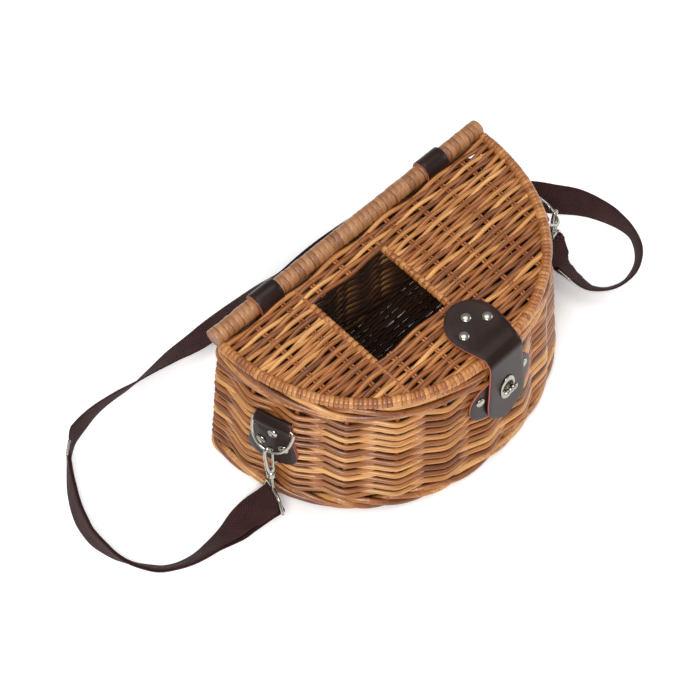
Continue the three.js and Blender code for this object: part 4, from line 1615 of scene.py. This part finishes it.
@dataclass(frozen=True)
class Fitting:
    """One end's leather tab, D ring, snap hook and strap ring."""

    side: Side
    station: float
    swing: float
    bar: tuple[float, float, float]
    bar_way: tuple[float, float, float]
    ring_turned: bool
    z: float = 0.105
    top: float = 0.038
    bottom: float = 0.034
    top_half: float = 0.0198
    low_half: float = 0.027
    neck: float = 0.026
    leather: float = LEATHER_THICKNESS
    wire: float = 0.0017
    ring_half: float = 0.0228
    ring_drop: float = 0.038
    bar_drop: float = 0.009
    hook_length: float = 0.038
    strap_ring_half: float = 0.0215
    strap_ring_length: float = 0.017

    def half(self, up: float) -> float:
        """Half the tab's width at a height above its middle."""
        spread = min(1.0, max(0.0, (self.top - self.neck - up) / self.neck))
        return self.top_half + (self.low_half - self.top_half) * spread

    def tab_rows(self) -> tuple[Array, float, float]:
        """The tab's run as rows of out, up and half width, then the D ring bar's out and up.

        Returns:
            The rows, the bar's out and the bar's up.
        """
        low = GAP + self.leather / 2
        fold = self.wire + GAP + self.leather / 2
        bar_out = low + self.leather / 2 + GAP + self.wire
        bar_z = self.top - self.bar_drop
        outer = low + self.leather + GAP
        ends = [(0.0, 0.3), (0.03, 0.52), (0.12, 0.8), (0.3, 0.96), (0.5, 1.0), (0.8, 1.0)]
        rows = []
        for rise, share in ends:
            up = -self.bottom * (1 - rise)
            rows.append((low, up, self.half(up) * share))
        rows += [(low, up, self.half(up)) for up in (self.top - self.neck, bar_z - fold * 2.4, bar_z)]
        rows += [
            (low + 0.0004, self.top - 0.003, self.half(self.top)),
            (low + self.leather, self.top - 0.0003, self.half(self.top)),
            (low + self.leather * 2, self.top - 0.003, self.half(self.top)),
            (bar_out + fold * 1.5, bar_z + fold * 0.6, self.half(bar_z)),
            (bar_out + fold * 1.5, bar_z - fold * 0.6, self.half(bar_z)),
        ]
        rows += [(outer, up, self.half(up)) for up in (bar_z - fold * 2.4, self.top - self.neck)]
        for rise, share in reversed(ends):
            up = -self.bottom * (1 - rise)
            rows.append((outer, up, self.half(up) * share))
        return np.array(rows), bar_out, bar_z

    def build_tab(self) -> Thing:
        """Builds the folded tab.

        Returns:
            The tab.
        """
        rows, _, _ = self.tab_rows()
        path = smooth_path(np.column_stack([np.zeros(len(rows)), rows]), 0.002)[:, 1:]
        run = unit(np.gradient(path[:, :2], axis=0))
        shares = lined([-0.75, -0.5, -0.25, 0.0, 0.25, 0.5, 0.75], 0.03)
        middles, outs = [], []
        for (out, up, half), way in zip(path, run):
            seats = [FORM.place(self.station, self.z, share * half, up, out) for share in shares]
            middles.append([s[0] for s in seats])
            outs.append([s[3] * way[1] - s[2] * way[0] for s in seats])
        name = f"tab {self.side.value}"
        mesh = Hide(np.array(middles), np.array(outs), self.leather, 0.8).mesh(name)
        return add_object(name, mesh, LEATHER.material())

    def rivet_seats(self) -> Seats:
        """Where the tab's three rivets sit.

        Returns:
            Place and outward direction of each.
        """
        face = GAP + self.leather * 2 + GAP
        spots = [(0.0, 0.013), (-0.0125, -0.007), (0.0125, -0.007)]
        seats = [FORM.place(self.station, self.z, across, up, face) for across, up in spots]
        return [(seat[0], seat[3]) for seat in seats]

    def ring_line(self) -> tuple[Array, Array]:
        """The D ring's wire and the lowest point of its bow.

        Returns:
            The wire's line and its lowest point.
        """
        _, bar_out, bar_z = self.tab_rows()
        place, along, rise, out = FORM.place(self.station, self.z, 0.0, bar_z, bar_out)
        lean = math.radians(self.swing)
        down = -rise * math.cos(lean) + out * math.sin(lean)
        points = [place + along * share * self.ring_half * 0.94 for share in (-1, -0.5, 0, 0.5)]
        for angle in np.linspace(0, math.pi, 11):
            drop = 2 * self.wire + (self.ring_drop - 2 * self.wire) * math.sin(angle) ** 0.8
            points.append(place + along * self.ring_half * math.cos(angle) + down * drop)
        return smooth_path(np.array(points), 0.0015, True)[:-1], place + down * self.ring_drop

    def frame(self) -> Frame:
        """The hook's bar middle, its direction up to the D ring, the bar's way and the way across.

        Returns:
            The bar's middle and the three directions.
        """
        bow = self.ring_line()[1]
        middle = np.array(self.bar)
        up = unit(bow - middle)
        bar = np.array(self.bar_way)
        bar = unit(bar - up * float(bar @ up))
        return middle, up, bar, unit(np.cross(up, bar))

    def build_metal(self) -> list[Thing]:
        """Builds the D ring, the snap hook and the strap ring.

        Returns:
            The D ring, the snap hook and the strap ring.
        """
        name = self.side.value
        line, bow = self.ring_line()
        middle, up, bar, cross = self.frame()
        ring = sweep(f"d ring {name}", [Rod(line, self.wire, 0.5, True)], 14, NICKEL.material())
        across = bar if self.ring_turned else cross
        wire = 0.002
        top = bow + up * (self.wire + GAP + wire)
        half = 0.0042
        spots = [
            (0.0, 0.0), (0.75, -0.0025), (1.0, -0.009), (0.9, -0.020), (0.7, -0.031),
            (0.0, -self.hook_length), (-0.7, -0.031), (-0.9, -0.020), (-1.0, -0.009), (-0.75, -0.0025),
        ]
        points = np.array([top + across * a * half + up * b for a, b in spots])
        eye = smooth_path(points, 0.0015, True)[:-1]
        drop = (eye - top) @ up
        thick = np.interp(-drop, [0, 0.006, 0.022, 0.034, 0.038], [1.0, 0.95, 1.1, 1.35, 1.5])
        gate = (eye - top) @ across > 0.003
        girth = wire * np.where(gate & (drop < -0.008) & (drop > -0.030), 0.72, thick)
        rods = [Rod(eye, blur(girth[:, None], 2, True)[:, 0], 0.5, True)]
        barrel_top = top - up * self.hook_length
        base = barrel_top - up * 0.006
        barrel = np.array([base + up * h for h in (0.0, 0.0008, 0.002, 0.003, 0.0045, 0.006, 0.0075, 0.0085)])
        widths = np.array([0.0036, 0.0048, 0.0052, 0.0044, 0.0048, 0.0052, 0.0044, 0.003])
        rods.append(Rod(barrel, widths, 0.5))
        stud = top + across * half * 1.0 - up * 0.024
        stud_line = np.array([stud, stud + across * 0.0035, stud + across * 0.0042])
        rods.append(Rod(stud_line, np.array([0.0014, 0.0016, 0.0008]), 0.5))
        hook = sweep(f"snap hook {name}", rods, 14, NICKEL.material())
        h, length = self.strap_ring_half, self.strap_ring_length
        loop = [
            (-h, 0.001), (-h + 0.0015, 0.0), (0.0, 0.0), (h - 0.0015, 0.0), (h, 0.001),
            (h * 0.7, length * 0.8), (h * 0.3, length), (-h * 0.3, length), (-h * 0.7, length * 0.8),
        ]
        points = np.array([middle + bar * a + up * b for a, b in loop])
        wire_line = smooth_path(points, 0.0015, True)[:-1]
        stem = np.array([middle + up * length, base + up * 0.001])
        strap_ring = sweep(
            f"strap ring {name}",
            [Rod(wire_line, 0.0018, 0.5, True), Rod(resample(stem, 0.004), 0.0023, 0.5)],
            14,
            NICKEL.material(),
        )
        return [ring, hook, strap_ring]


FITTINGS = {
    Side.LEFT: Fitting(Side.LEFT, 2.793, 14, (-0.213, 0.0055, 0.025), (-0.33, -0.944, 0.0), False),
    Side.RIGHT: Fitting(Side.RIGHT, 0.37, 36, (0.223, 0.017, 0.0275), (0.97, 0.24, 0.0), True),
}


@dataclass(frozen=True)
class Closure:
    """The flap over the lid's front, and the lock on the wall under it."""

    x: float = 0.007
    z: float = 0.133
    leather: float = LEATHER_THICKNESS
    gap: float = GAP
    half: float = 0.0295
    head: float = 0.0635
    bend: float = 0.0095
    tail: float = 0.102
    lid_top: float = 0.1893
    edge_top: float = 0.1913
    edge_front: float = -0.094
    edge_r: float = 0.0055
    foot: float = 0.0012
    plate: float = 0.0014
    post_r: float = 0.0024
    base_half: float = 0.047
    base_rise: float = 0.030
    base_drop: float = 0.0065

    def station(self) -> float:
        """The lock's station on the outline."""
        return math.acos((self.x / FORM.half(self.z)) ** (FORM.roundness / 2))

    def place(self, across: float, up: float, out: float) -> Frame:
        """A place beside the lock."""
        return FORM.place(self.station(), self.z, across, up, out)

    def tail_inner(self) -> float:
        """How far the tail's inner face is out from the wall at the lock."""
        return self.gap * 3 + self.leather + self.foot

    def flap_rows(self) -> Array:
        """The flap's run as rows of Y, Z, half width share and its outward Y and Z.

        Returns:
            The rows.
        """
        lift = self.gap + self.leather / 2
        front = self.edge_front + self.edge_r
        head = [
            (0.0, 0.1), (0.012, 0.24), (0.05, 0.44), (0.14, 0.7), (0.31, 0.95), (0.47, 1),
            (0.68, 0.95), (0.88, 0.85), (1, 0.8),
        ]
        rows = []
        for share, half in head:
            ramp = min(1.0, max(0.0, (share - 0.62) / 0.26))
            z = self.lid_top + (self.edge_top - self.lid_top) * ramp + lift
            rows.append([front + self.head * (1 - share), z, half, 0.0, 1.0])
        lean = math.atan((FORM.base_depth - FORM.top_depth) / FORM.height)
        radius = self.bend + self.leather / 2
        for angle in np.linspace(0, math.pi / 2 - lean, 8)[1:]:
            y = front - radius * math.sin(angle)
            z = self.edge_top + lift - radius * (1 - math.cos(angle))
            rows.append([y, z, 0.765, -math.sin(angle), math.cos(angle)])
        seat = self.place(0, 0, self.tail_inner() + self.leather / 2)[0]
        end = rows[-1]
        tail = [
            (0.1, 0.76), (0.35, 0.82), (0.6, 0.88), (0.76, 0.85), (0.86, 0.68), (0.93, 0.44),
            (0.98, 0.2), (0.995, 0.08),
        ]
        for share, half in tail:
            drop = share * self.tail
            z = end[1] - drop * math.cos(lean)
            wall = seat[1] - (seat[2] - z) * math.tan(lean)
            settle = min(1.0, share / 0.35)
            y = (end[0] - drop * math.sin(lean)) * (1 - settle) + wall * settle
            rows.append([y, z, half, -math.cos(lean), math.sin(lean)])
        return np.array(rows)

    def build_flap(self) -> Thing:
        """Builds the flap.

        Returns:
            The flap.
        """
        rows = self.flap_rows()
        path = smooth_path(np.column_stack([np.zeros(len(rows)), rows]), 0.0018)[:, 1:]
        shares = lined([-0.8, -0.5, -0.2, 0.2, 0.5, 0.8], 0.025)
        middles = np.zeros((len(path), len(shares), 3))
        middles[:, :, 0] = self.x + path[:, 2:3] * self.half * shares[None, :]
        middles[:, :, 1] = path[:, 0:1]
        middles[:, :, 2] = path[:, 1:2]
        outs = np.zeros_like(middles)
        outs[:, :, 1:] = unit(path[:, 3:5])[:, None, :]
        mesh = Hide(middles, outs, self.leather, 0.8).mesh("closure flap")
        return add_object("closure flap", mesh, LEATHER.material())

    def build_base(self) -> Thing:
        """Builds the leather under the lock.

        Returns:
            The leather.
        """
        shares = lined([-0.8, -0.6, -0.4, -0.2, 0.0, 0.2, 0.4, 0.6, 0.8], 0.03)
        middles, outs = [], []
        for turn in np.linspace(-0.5 * math.pi + 0.12, 0.5 * math.pi - 0.12, 41):
            up = math.copysign(abs(math.sin(turn)) ** 0.83, turn)
            half = self.base_half * max(0.0, 1 - abs(up) ** 2.4) ** (1 / 2.4)
            seats = [
                self.place(s * half, up * self.base_rise - self.base_drop, self.gap + self.leather / 2)
                for s in shares
            ]
            middles.append([s[0] for s in seats])
            outs.append([s[3] for s in seats])
        mesh = Hide(np.array(middles), np.array(outs), self.leather, 0.8).mesh("lock base")
        return add_object("lock base", mesh, LEATHER.material())

    def wall_piece(
        self, name: str, profile: list[tuple[float, float]], stretch: tuple, out: float
    ) -> Thing:
        """A turned piece stretched to an oval, set on the wall.

        Args:
            name: The piece's plain name.
            profile: Rows of radius and height.
            stretch: Scale along the wall and up it.
            out: Distance out from the wall.

        Returns:
            The piece.
        """
        mesh = lathe_mesh(name, profile, 48)
        seat, along, rise, face = self.place(0, 0, out)
        basis = Matrix([[*row, 0] for row in np.column_stack([along, rise, face])] + [[0, 0, 0, 1]])
        scale = Matrix.Diagonal((stretch[0], stretch[1], 1.0, 1.0))
        mesh.transform(Matrix.Translation(Vector(seat)) @ basis @ scale)
        return add_object(name, mesh, NICKEL.material())

    def build_lock(self) -> tuple[Thing, Thing, Thing]:
        """Builds the eyelet plate, the knob and the post.

        Returns:
            The plate, the knob and the post.
        """
        plate_in = self.tail_inner() + self.leather + self.gap
        knob_in = plate_in + self.plate + self.gap
        t = self.plate
        ring = [
            (0.5, 0.0), (1.0, 0.0), (1.04, t * 0.3), (1.0, t * 0.8),
            (0.9, t * 1.2), (0.66, t * 1.25), (0.54, t), (0.5, t * 0.6),
        ]
        plate = self.wall_piece("eyelet plate", ring, (0.0102, 0.0176), plate_in)
        seat, along, rise, face = self.place(0, 0, knob_in)
        length, width = 0.0085, 0.0033
        rods = []
        spots = np.linspace(-length, length, 9)
        high = 0.0026 + 0.0006 * np.cos(spots / length * math.pi * 3)
        girth = np.array([0.0018, 0.0026, 0.003, 0.0027, 0.0031, 0.0027, 0.003, 0.0026, 0.0018])
        line = np.array([seat + along * a + face * h for a, h in zip(spots, high)])
        smooth = smooth_path(line, 0.0008)
        shares = np.linspace(0, 1, len(smooth))
        rods.append(Rod(smooth, np.interp(shares, np.linspace(0, 1, 9), girth), 0.5))
        for shift in (-0.0042, 0.0, 0.0042):
            middle = seat + along * shift
            shares = np.linspace(-1, 1, 7)
            ridge = [middle + rise * s * width + face * (0.0052 - 0.0016 * s * s) for s in shares]
            rods.append(Rod(np.array(ridge), 0.0008, 0.5))
        knob = sweep("lock knob", rods, 12, NICKEL.material())
        r = self.post_r
        post_in = self.gap * 2 + self.leather
        top = knob_in - post_in + 0.002
        profile = [
            (0.0, 0.0), (0.008, 0.0), (0.008, 0.001), (0.0075, 0.0012), (r, 0.0012), (r, top), (0.0, top),
        ]
        post = self.wall_piece("lock post", profile, (1, 1), post_in)
        return plate, knob, post

    def rivet_seats(self) -> tuple[Seats, Seats]:
        """Seats of the flap's rivets and of the lock base's rivets.

        Returns:
            The flap's seats and the base's seats.
        """
        tip = self.edge_front + self.edge_r + self.head
        top = self.lid_top + self.gap + self.leather
        up = np.array([0.0, 0.0, 1.0])
        spots = ((0, 0.019), (-0.0165, 0.0325), (0.0165, 0.0325))
        flap = [(np.array([self.x + dx, tip - back, top]), up) for dx, back in spots]
        base = []
        for across in (-0.033, 0.033):
            seat, _, _, out = self.place(across, 0.002, self.gap + self.leather)
            base.append((seat, out))
        return flap, base


CLOSURE = Closure()


# Strap


@dataclass(frozen=True)
class SliderSeat:
    """Where a slider sits on the webbing."""

    middle: tuple[float, float, float]
    heading: tuple[float, float, float]
    roll: float


@dataclass(frozen=True)
class Strap:
    """The webbing strap: one long run, doubled back through a ring and a slider at each end."""

    width: float = 0.038
    thick: float = 0.0018
    layer: float = 0.0011
    step: float = 0.004
    left_slider: SliderSeat = SliderSeat((-0.335, 0.1935, 0.0224), (0.72, 0.69, 0.0), 98)
    right_slider: SliderSeat = SliderSeat((0.2174, -0.0205, 0.0188), (0.0, 1.0, 0.05), 45)
    left: tuple = (
        (-226, 10.5, 16.8, 7), (-236, 13, 13.2, 14), (-250, 13, 12.4, 24), (-264, 11, 13.8, 34),
        (-278, 11, 15.6, 43), (-292, 12, 17.2, 50), (-307, 13, 18, 55), (-321, 16, 18.3, 58),
        (-335, 22, 18.3, 61), (-347, 30, 18.3, 62), (-356, 41, 19, 65), (-364, 54, 19.5, 70),
        (-369, 67, 20, 77), (-372, 79, 20, 85), (-374, 92, 20, 91), (-375, 106, 20, 97), (-373, 119, 20, 102),
        (-370, 132, 20, 105), (-365, 145, 20, 106), (-359, 157, 20, 106), (-351, 171, 20.3, 104),
    )
    main: tuple = (
        (-318, 208.5, 20.5, 92), (-309, 212, 20.5, 92), (-294, 215, 20.5, 96), (-279, 217, 20.2, 102),
        (-264, 217, 20, 107), (-249, 216, 19.5, 110), (-234, 214, 19, 114), (-218, 213, 18.3, 120),
        (-202, 213, 16.8, 127), (-186, 213, 15.2, 135), (-171, 213, 13.4, 142), (-157, 212, 12, 148),
        (-141, 211, 10.8, 153), (-120, 211, 10, 156), (-95, 211, 11.5, 150), (-70, 211, 13.9, 140),
        (-42, 211, 16.6, 128), (-12, 209, 18.8, 115), (20, 206, 20, 104), (52, 202, 20.4, 96),
        (84, 197, 20.4, 90), (116, 189, 20.4, 85), (148, 178, 20.2, 80), (178, 164, 20, 75),
        (206, 146, 19.5, 71), (230, 125, 19, 67), (252, 100, 18.4, 64), (270, 78, 18.2, 62),
        (281, 62, 18.4, 64), (290, 50, 18.8, 68), (297, 39, 19.4, 74), (303, 25, 20.2, 82),
        (308, 8, 20.4, 89), (310.5, -5, 20.4, 94),
        (311, -17, 20.4, 99), (310, -28, 20.3, 101), (306, -38, 20.2, 98), (299, -49, 20.3, 92),
        (289, -59, 20.4, 84), (276, -66, 19.8, 76), (262, -69.5, 19, 69), (248, -68, 18.2, 62),
        (235, -63, 17.6, 56), (225, -54, 17.2, 51), (219, -43, 17.4, 47),
    )
    right: tuple = ((217.9, -3.5, 20, 42), (219.3, 3.5, 21.6, 27))

    def rows(self, table: tuple) -> Array:
        """A route table in metres and degrees."""
        return np.array(table, float) * np.array([0.001, 0.001, 0.001, 1.0])

    def seat_row(self, seat: SliderSeat) -> Array:
        """A slider's place as a route row."""
        return np.array([*seat.middle, seat.roll])

    @staticmethod
    def across(run: Array, roll: Array) -> Array:
        """The webbing's crosswise directions from its run and roll.

        Args:
            run: Directions along the webbing.
            roll: Its roll in degrees at each.

        Returns:
            The directions.
        """
        level = unit(np.stack([-run[:, 1], run[:, 0], np.zeros(len(run))], axis=1))
        rise = unit(np.cross(run, level))
        angle = np.radians(roll)[:, None]
        return level * np.cos(angle) + rise * np.sin(angle)

    def stretch(self, rows: Array, first: Array | None, last: Array | None) -> tuple[Array, Array, Array]:
        """Evenly spaced places along a route with their crosswise and outward directions.

        Args:
            rows: Route rows of place and roll.
            first: The crosswise direction wanted at the start, or None.
            last: The crosswise direction wanted at the end, or None.

        Returns:
            Places, crosswise directions and outward directions.
        """
        fine = smooth_path(rows, self.step)
        run = unit(np.gradient(fine[:, :3], axis=0))
        across = self.across(run, fine[:, 3])
        reach = 7
        end = len(fine) - 1
        for wanted, numbers in ((first, range(reach)), (last, range(end, end - reach, -1))):
            if wanted is None:
                continue
            for step, i in enumerate(numbers):
                share = 1 - step / reach
                across[i] = unit(across[i] * (1 - share) + wanted * share)
        return fine[:, :3], across, unit(np.cross(run, across))

    def doubled(self, rows: Array, fitting: Fitting, at_start: bool) -> tuple[Array, Array]:
        """The webbing's line out to a ring's bar, round it and back.

        Args:
            rows: Route rows from the ring's bar to the slider.
            fitting: Whose strap ring it goes round.
            at_start: Whether the route starts at the ring.

        Returns:
            Places and crosswise directions, from the tail end past the ring to the slider.
        """
        middle, _, bar, _ = fitting.frame()
        wanted = bar if at_start else -bar
        if at_start:
            route = np.vstack([[*middle, rows[0][3]], rows])
            places, across, outs = self.stretch(route, wanted, None)
        else:
            route = np.vstack([rows, [*middle, rows[-1][3]]])
            places, across, outs = self.stretch(route, None, wanted)
            places, across, outs = places[::-1], across[::-1], outs[::-1]
        along = np.arange(len(places)) * self.step
        at_ring = 0.0018 * np.exp(-((along / 0.012) ** 2))
        bulge = 0.0024 * np.exp(-(((along - 0.045) / 0.028) ** 2))
        to_slider = np.maximum(0.0, along[-1] - along)
        apart = np.minimum(self.layer + at_ring + bulge, self.layer + to_slider * 0.2)
        near = along > 0.002
        upper = places + outs * apart[:, None]
        lower = places - outs * apart[:, None]
        away = -unit(places[2] - places[0])
        radius = apart[0]
        turns = np.linspace(0, math.pi, 9)
        wrap = [places[0] + outs[0] * radius * math.cos(a) + away * radius * math.sin(a) for a in turns]
        line = np.vstack([lower[near][::-1], np.array(wrap)[::-1], upper[near]])
        ways = np.vstack([across[near][::-1], np.repeat(across[:1], len(turns), axis=0), across[near]])
        return line, ways

    def build(self) -> tuple[Thing, Array]:
        """Builds the webbing.

        Returns:
            The webbing and the line it follows.
        """
        start, end = self.seat_row(self.left_slider), self.seat_row(self.right_slider)
        left_rows = np.vstack([self.rows(self.left), start])
        main_rows = np.vstack([start, self.rows(self.main), end])
        right_rows = np.vstack([end, self.rows(self.right)])
        left_line, left_ways = self.doubled(left_rows, FITTINGS[Side.LEFT], True)
        main_line, main_ways, main_outs = self.stretch(main_rows, None, None)
        right_line, right_ways = self.doubled(right_rows, FITTINGS[Side.RIGHT], False)
        ends = np.minimum(np.arange(len(main_line)), np.arange(len(main_line))[::-1]) * self.step
        main_line = main_line + main_outs * (self.layer * np.exp(-((ends / 0.01) ** 2)))[:, None]
        line = np.vstack([left_line, main_line[1:-1], right_line[::-1]])
        ways = np.vstack([left_ways, main_ways[1:-1], right_ways[::-1]])
        mesh = self.ribbon(line, ways).mesh("strap webbing")
        obj = add_object("strap webbing", mesh, WEBBING.material())
        left_middle, right_middle = FITTINGS[Side.LEFT].frame()[0], FITTINGS[Side.RIGHT].frame()[0]
        routes = (left_rows, main_rows[1:-1], right_rows)
        path = np.vstack([left_middle, *(rows[:, :3] for rows in routes), right_middle])
        return obj, path

    def ribbon(self, line: Array, ways: Array) -> Hide:
        """A flat ribbon along a line.

        Args:
            line: The places it follows.
            ways: Its crosswise directions.

        Returns:
            The ribbon, ready to mesh.
        """
        run = unit(np.gradient(line, axis=0))
        ways = unit(ways - run * np.sum(ways * run, axis=1, keepdims=True))
        outs = unit(np.cross(run, ways))
        shares = lined([-0.6, -0.2, 0.2, 0.6], 0.05)
        middles = line[:, None, :] + ways[:, None, :] * shares[None, :, None] * self.width / 2
        return Hide(middles, np.repeat(outs[:, None, :], len(shares), axis=1), self.thick, 0.55)

    def build_slider(self, name: str, seat: SliderSeat) -> Thing:
        """Builds a slider's frame and middle bar.

        Args:
            name: The piece's plain name.
            seat: Where it sits.

        Returns:
            The slider.
        """
        run = unit(np.array([seat.heading], float))
        across = self.across(run, np.array([seat.roll]))[0]
        run = run[0]
        middle = np.array(seat.middle)
        half, length, wire = 0.0204, 0.0088, 0.0012
        corner = 0.002
        points = []
        for a, b in ((1, 1), (-1, 1), (-1, -1), (1, -1)):
            centre = np.array([a * (half - corner), b * (length - corner)])
            start = math.atan2(b, a) - math.pi / 4
            for turn in np.linspace(start, start + math.pi / 2, 5):
                points.append(centre + corner * np.array([math.cos(turn), math.sin(turn)]))
        line = np.array([middle + across * p[0] + run * p[1] for p in points])
        closed = resample(np.vstack([line, line[:1]]), 0.0015)[:-1]
        rods = [Rod(closed, wire * 1.15, 0.5, True)]
        bar = np.array([middle - across * half, middle + across * half])
        rods.append(Rod(resample(bar, 0.004), wire, 0.5))
        return sweep(name, rods, 10, NICKEL.material())


# Studio


@dataclass(frozen=True)
class Studio:
    """Camera, lights and floor."""

    azimuth: float = -44.06
    elevation: float = 59.9
    distance: float = 1.6739
    target: tuple[float, float, float] = (-0.059, 0.0516, 0.090)
    lens: float = 82.3
    sensor: float = 36.0
    sky: float = 0.42
    aim: tuple[float, float, float] = (0.0, 0.0, 0.08)
    lamps: tuple = (
        ("Key", (-0.9, -0.7, 1.6), 0.8, 28.0),
        ("Top", (0.2, 0.3, 2.0), 1.2, 12.0),
        ("Side", (1.5, -0.8, 0.9), 0.9, 7.0),
    )
    reach: float = 6.0

    def build_camera(self) -> None:
        """Sets the camera at the photo's angle."""
        az, el = math.radians(self.azimuth), math.radians(self.elevation)
        back = Vector((math.sin(az) * math.cos(el), -math.cos(az) * math.cos(el), math.sin(el)))
        right = Vector((math.cos(az), math.sin(az), 0.0))
        up = back.cross(right)
        data = bpy.data.cameras.new("Camera")
        data.lens = self.lens
        data.sensor_width = self.sensor
        camera = bpy.data.objects.new("Camera", data)
        bpy.context.scene.collection.objects.link(camera)
        rotation = Matrix((right, up, back)).transposed().to_4x4()
        camera.matrix_world = Matrix.Translation(Vector(self.target) + back * self.distance) @ rotation
        bpy.context.scene.camera = camera

    def build_light(self) -> None:
        """Sets a bright world and soft lights."""
        world = bpy.data.worlds.new("Studio")
        bpy.context.scene.world = world
        world.use_nodes = True
        background = world.node_tree.nodes["Background"]
        background.inputs[0].default_value = (1.0, 1.0, 1.0, 1.0)
        background.inputs[1].default_value = self.sky
        for name, place, size, power in self.lamps:
            data = bpy.data.lights.new(name, "AREA")
            data.size = size
            data.energy = power
            lamp = bpy.data.objects.new(name, data)
            bpy.context.scene.collection.objects.link(lamp)
            lamp.location = place
            way = Vector(self.aim) - Vector(place)
            lamp.rotation_euler = way.to_track_quat("-Z", "Y").to_euler()

    def build_floor(self) -> None:
        """Lays the pale floor."""
        mesh = bpy.data.meshes.new("floor")
        signs = ((-1, -1), (1, -1), (1, 1), (-1, 1))
        corners = [(a * self.reach, b * self.reach, 0) for a, b in signs]
        mesh.from_pydata(corners, [], [(0, 1, 2, 3)])
        add_object("floor", mesh, FLOOR.material())


def settle(obj: Thing, body: str, slot: str, *nodes: str) -> Thing:
    """Hands a finished piece to its body.

    Args:
        obj: The piece.
        body: The CAD body it rides on.
        slot: The record's material slot; not used.
        *nodes: The CAD nodes it stands for.

    Returns:
        The piece.
    """
    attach(obj, body)
    if nodes:
        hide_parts(*nodes)
    log.info("%s rides on the %s", obj.name, body)
    return obj


@dataclass
class Creel:
    """The whole bag."""

    strap: Strap = field(default_factory=Strap)
    lid: LidLook = field(default_factory=LidLook)
    rivets: RivetLook = field(default_factory=RivetLook)

    def build_strap(self) -> None:
        """Builds the strap first, since its lie is the hardest to judge."""
        webbing, path = self.strap.build()
        settle(webbing, BASKET, "webbing", "strap_left", "strap_main", "strap_right")
        for name, seat in (("left", self.strap.left_slider), ("right", self.strap.right_slider)):
            slider = self.strap.build_slider(f"slider {name}", seat)
            settle(slider, BASKET, "nickel", f"slider_{name}")
        length = float(np.linalg.norm(np.diff(path, axis=0), axis=1).sum())
        tuple(path[0])
        [tuple(p) for p in path]
        log.info("strap run %.3f m", length)

    def build_basket(self) -> None:
        """Builds the willow basket."""
        settle(Wall().build(), BASKET, "willow", "basket_wall")
        rim = Border(
            "rim border", z=0.1690, inset=0.0045, rods=4, girth=0.0037, tall=0.0072, deep=0.0030, turns=4
        )
        settle(rim.build(), BASKET, "willow", "rim_border")
        foot = Border(
            "foot border", z=0.0103, inset=0.0048, rods=4, girth=0.0038, tall=0.0062, deep=0.0030, turns=9
        )
        settle(foot.build(), BASKET, "willow", "foot_border")
        mat = FloorMat(
            "floor weave", z=0.0045, front=-0.0975, back=0.1040, pitch=0.0043, rod=0.0027,
            stick=0.0013, swing=0.0011, bays=10, drift=0.0003,
        )
        floor = shade_inside(sweep("floor weave", mat.rods(), 6, WILLOW.material()))
        settle(floor, BASKET, "willow", "basket_floor")

    def build_lid(self) -> None:
        """Builds the lid's willow."""
        weave, edge, rail, core, core_edge, *wraps = self.lid.build()
        settle(weave, LID, "willow", "lid_panel")
        settle(edge, LID, "willow", "lid_edge")
        settle(rail, LID, "rail_wrap", "lid_rail")
        settle(core, LID, "rail_wrap")
        for piece in (core_edge, *wraps):
            settle(piece, LID, "willow")

    def build_leather(self) -> None:
        """Builds loops, tabs, flap and lock base with their rivets."""
        for loop, name in zip(Loops().build(), ("left", "right")):
            settle(loop, BASKET, "leather", f"hinge_loop_{name}")
        for side, fitting in FITTINGS.items():
            name = side.value
            settle(fitting.build_tab(), BASKET, "leather", f"tab_{name}")
            caps = self.rivets.build(f"tab rivets {name}", fitting.rivet_seats())
            settle(caps, BASKET, "nickel", *(f"tab_rivet_{name}_{i}" for i in (1, 2, 3)))
            pieces = fitting.build_metal()
            for piece, node in zip(pieces, ("d_ring", "snap_hook", "strap_ring")):
                settle(piece, BASKET, "nickel", f"{node}_{name}")
        settle(CLOSURE.build_flap(), LID, "leather", "closure_flap")
        settle(CLOSURE.build_base(), BASKET, "leather", "lock_base")
        plate, knob, post = CLOSURE.build_lock()
        settle(plate, LID, "nickel", "eyelet_plate")
        settle(knob, KNOB, "nickel", "lock_knob")
        settle(post, BASKET, "nickel", "lock_post")
        flap, base = CLOSURE.rivet_seats()
        caps = self.rivets.build("flap rivets", flap)
        settle(caps, LID, "nickel", *(f"flap_rivet_{i}" for i in (1, 2, 3)))
        caps = self.rivets.build("lock rivets", base)
        settle(caps, BASKET, "nickel", "lock_rivet_left", "lock_rivet_right")


def main() -> None:
    """Builds the scene in order."""
    logging.basicConfig(level=logging.INFO, format="%(name)s: %(message)s")
    save_size()
    studio = Studio()
    studio.build_camera()
    creel = Creel()
    creel.build_strap()
    creel.build_basket()
    creel.build_lid()
    creel.build_leather()
    studio.build_light()
    studio.build_floor()
    bpy.context.scene.view_settings.view_transform = "Standard"
    save_size()


if __name__ == "__main__":
    main()
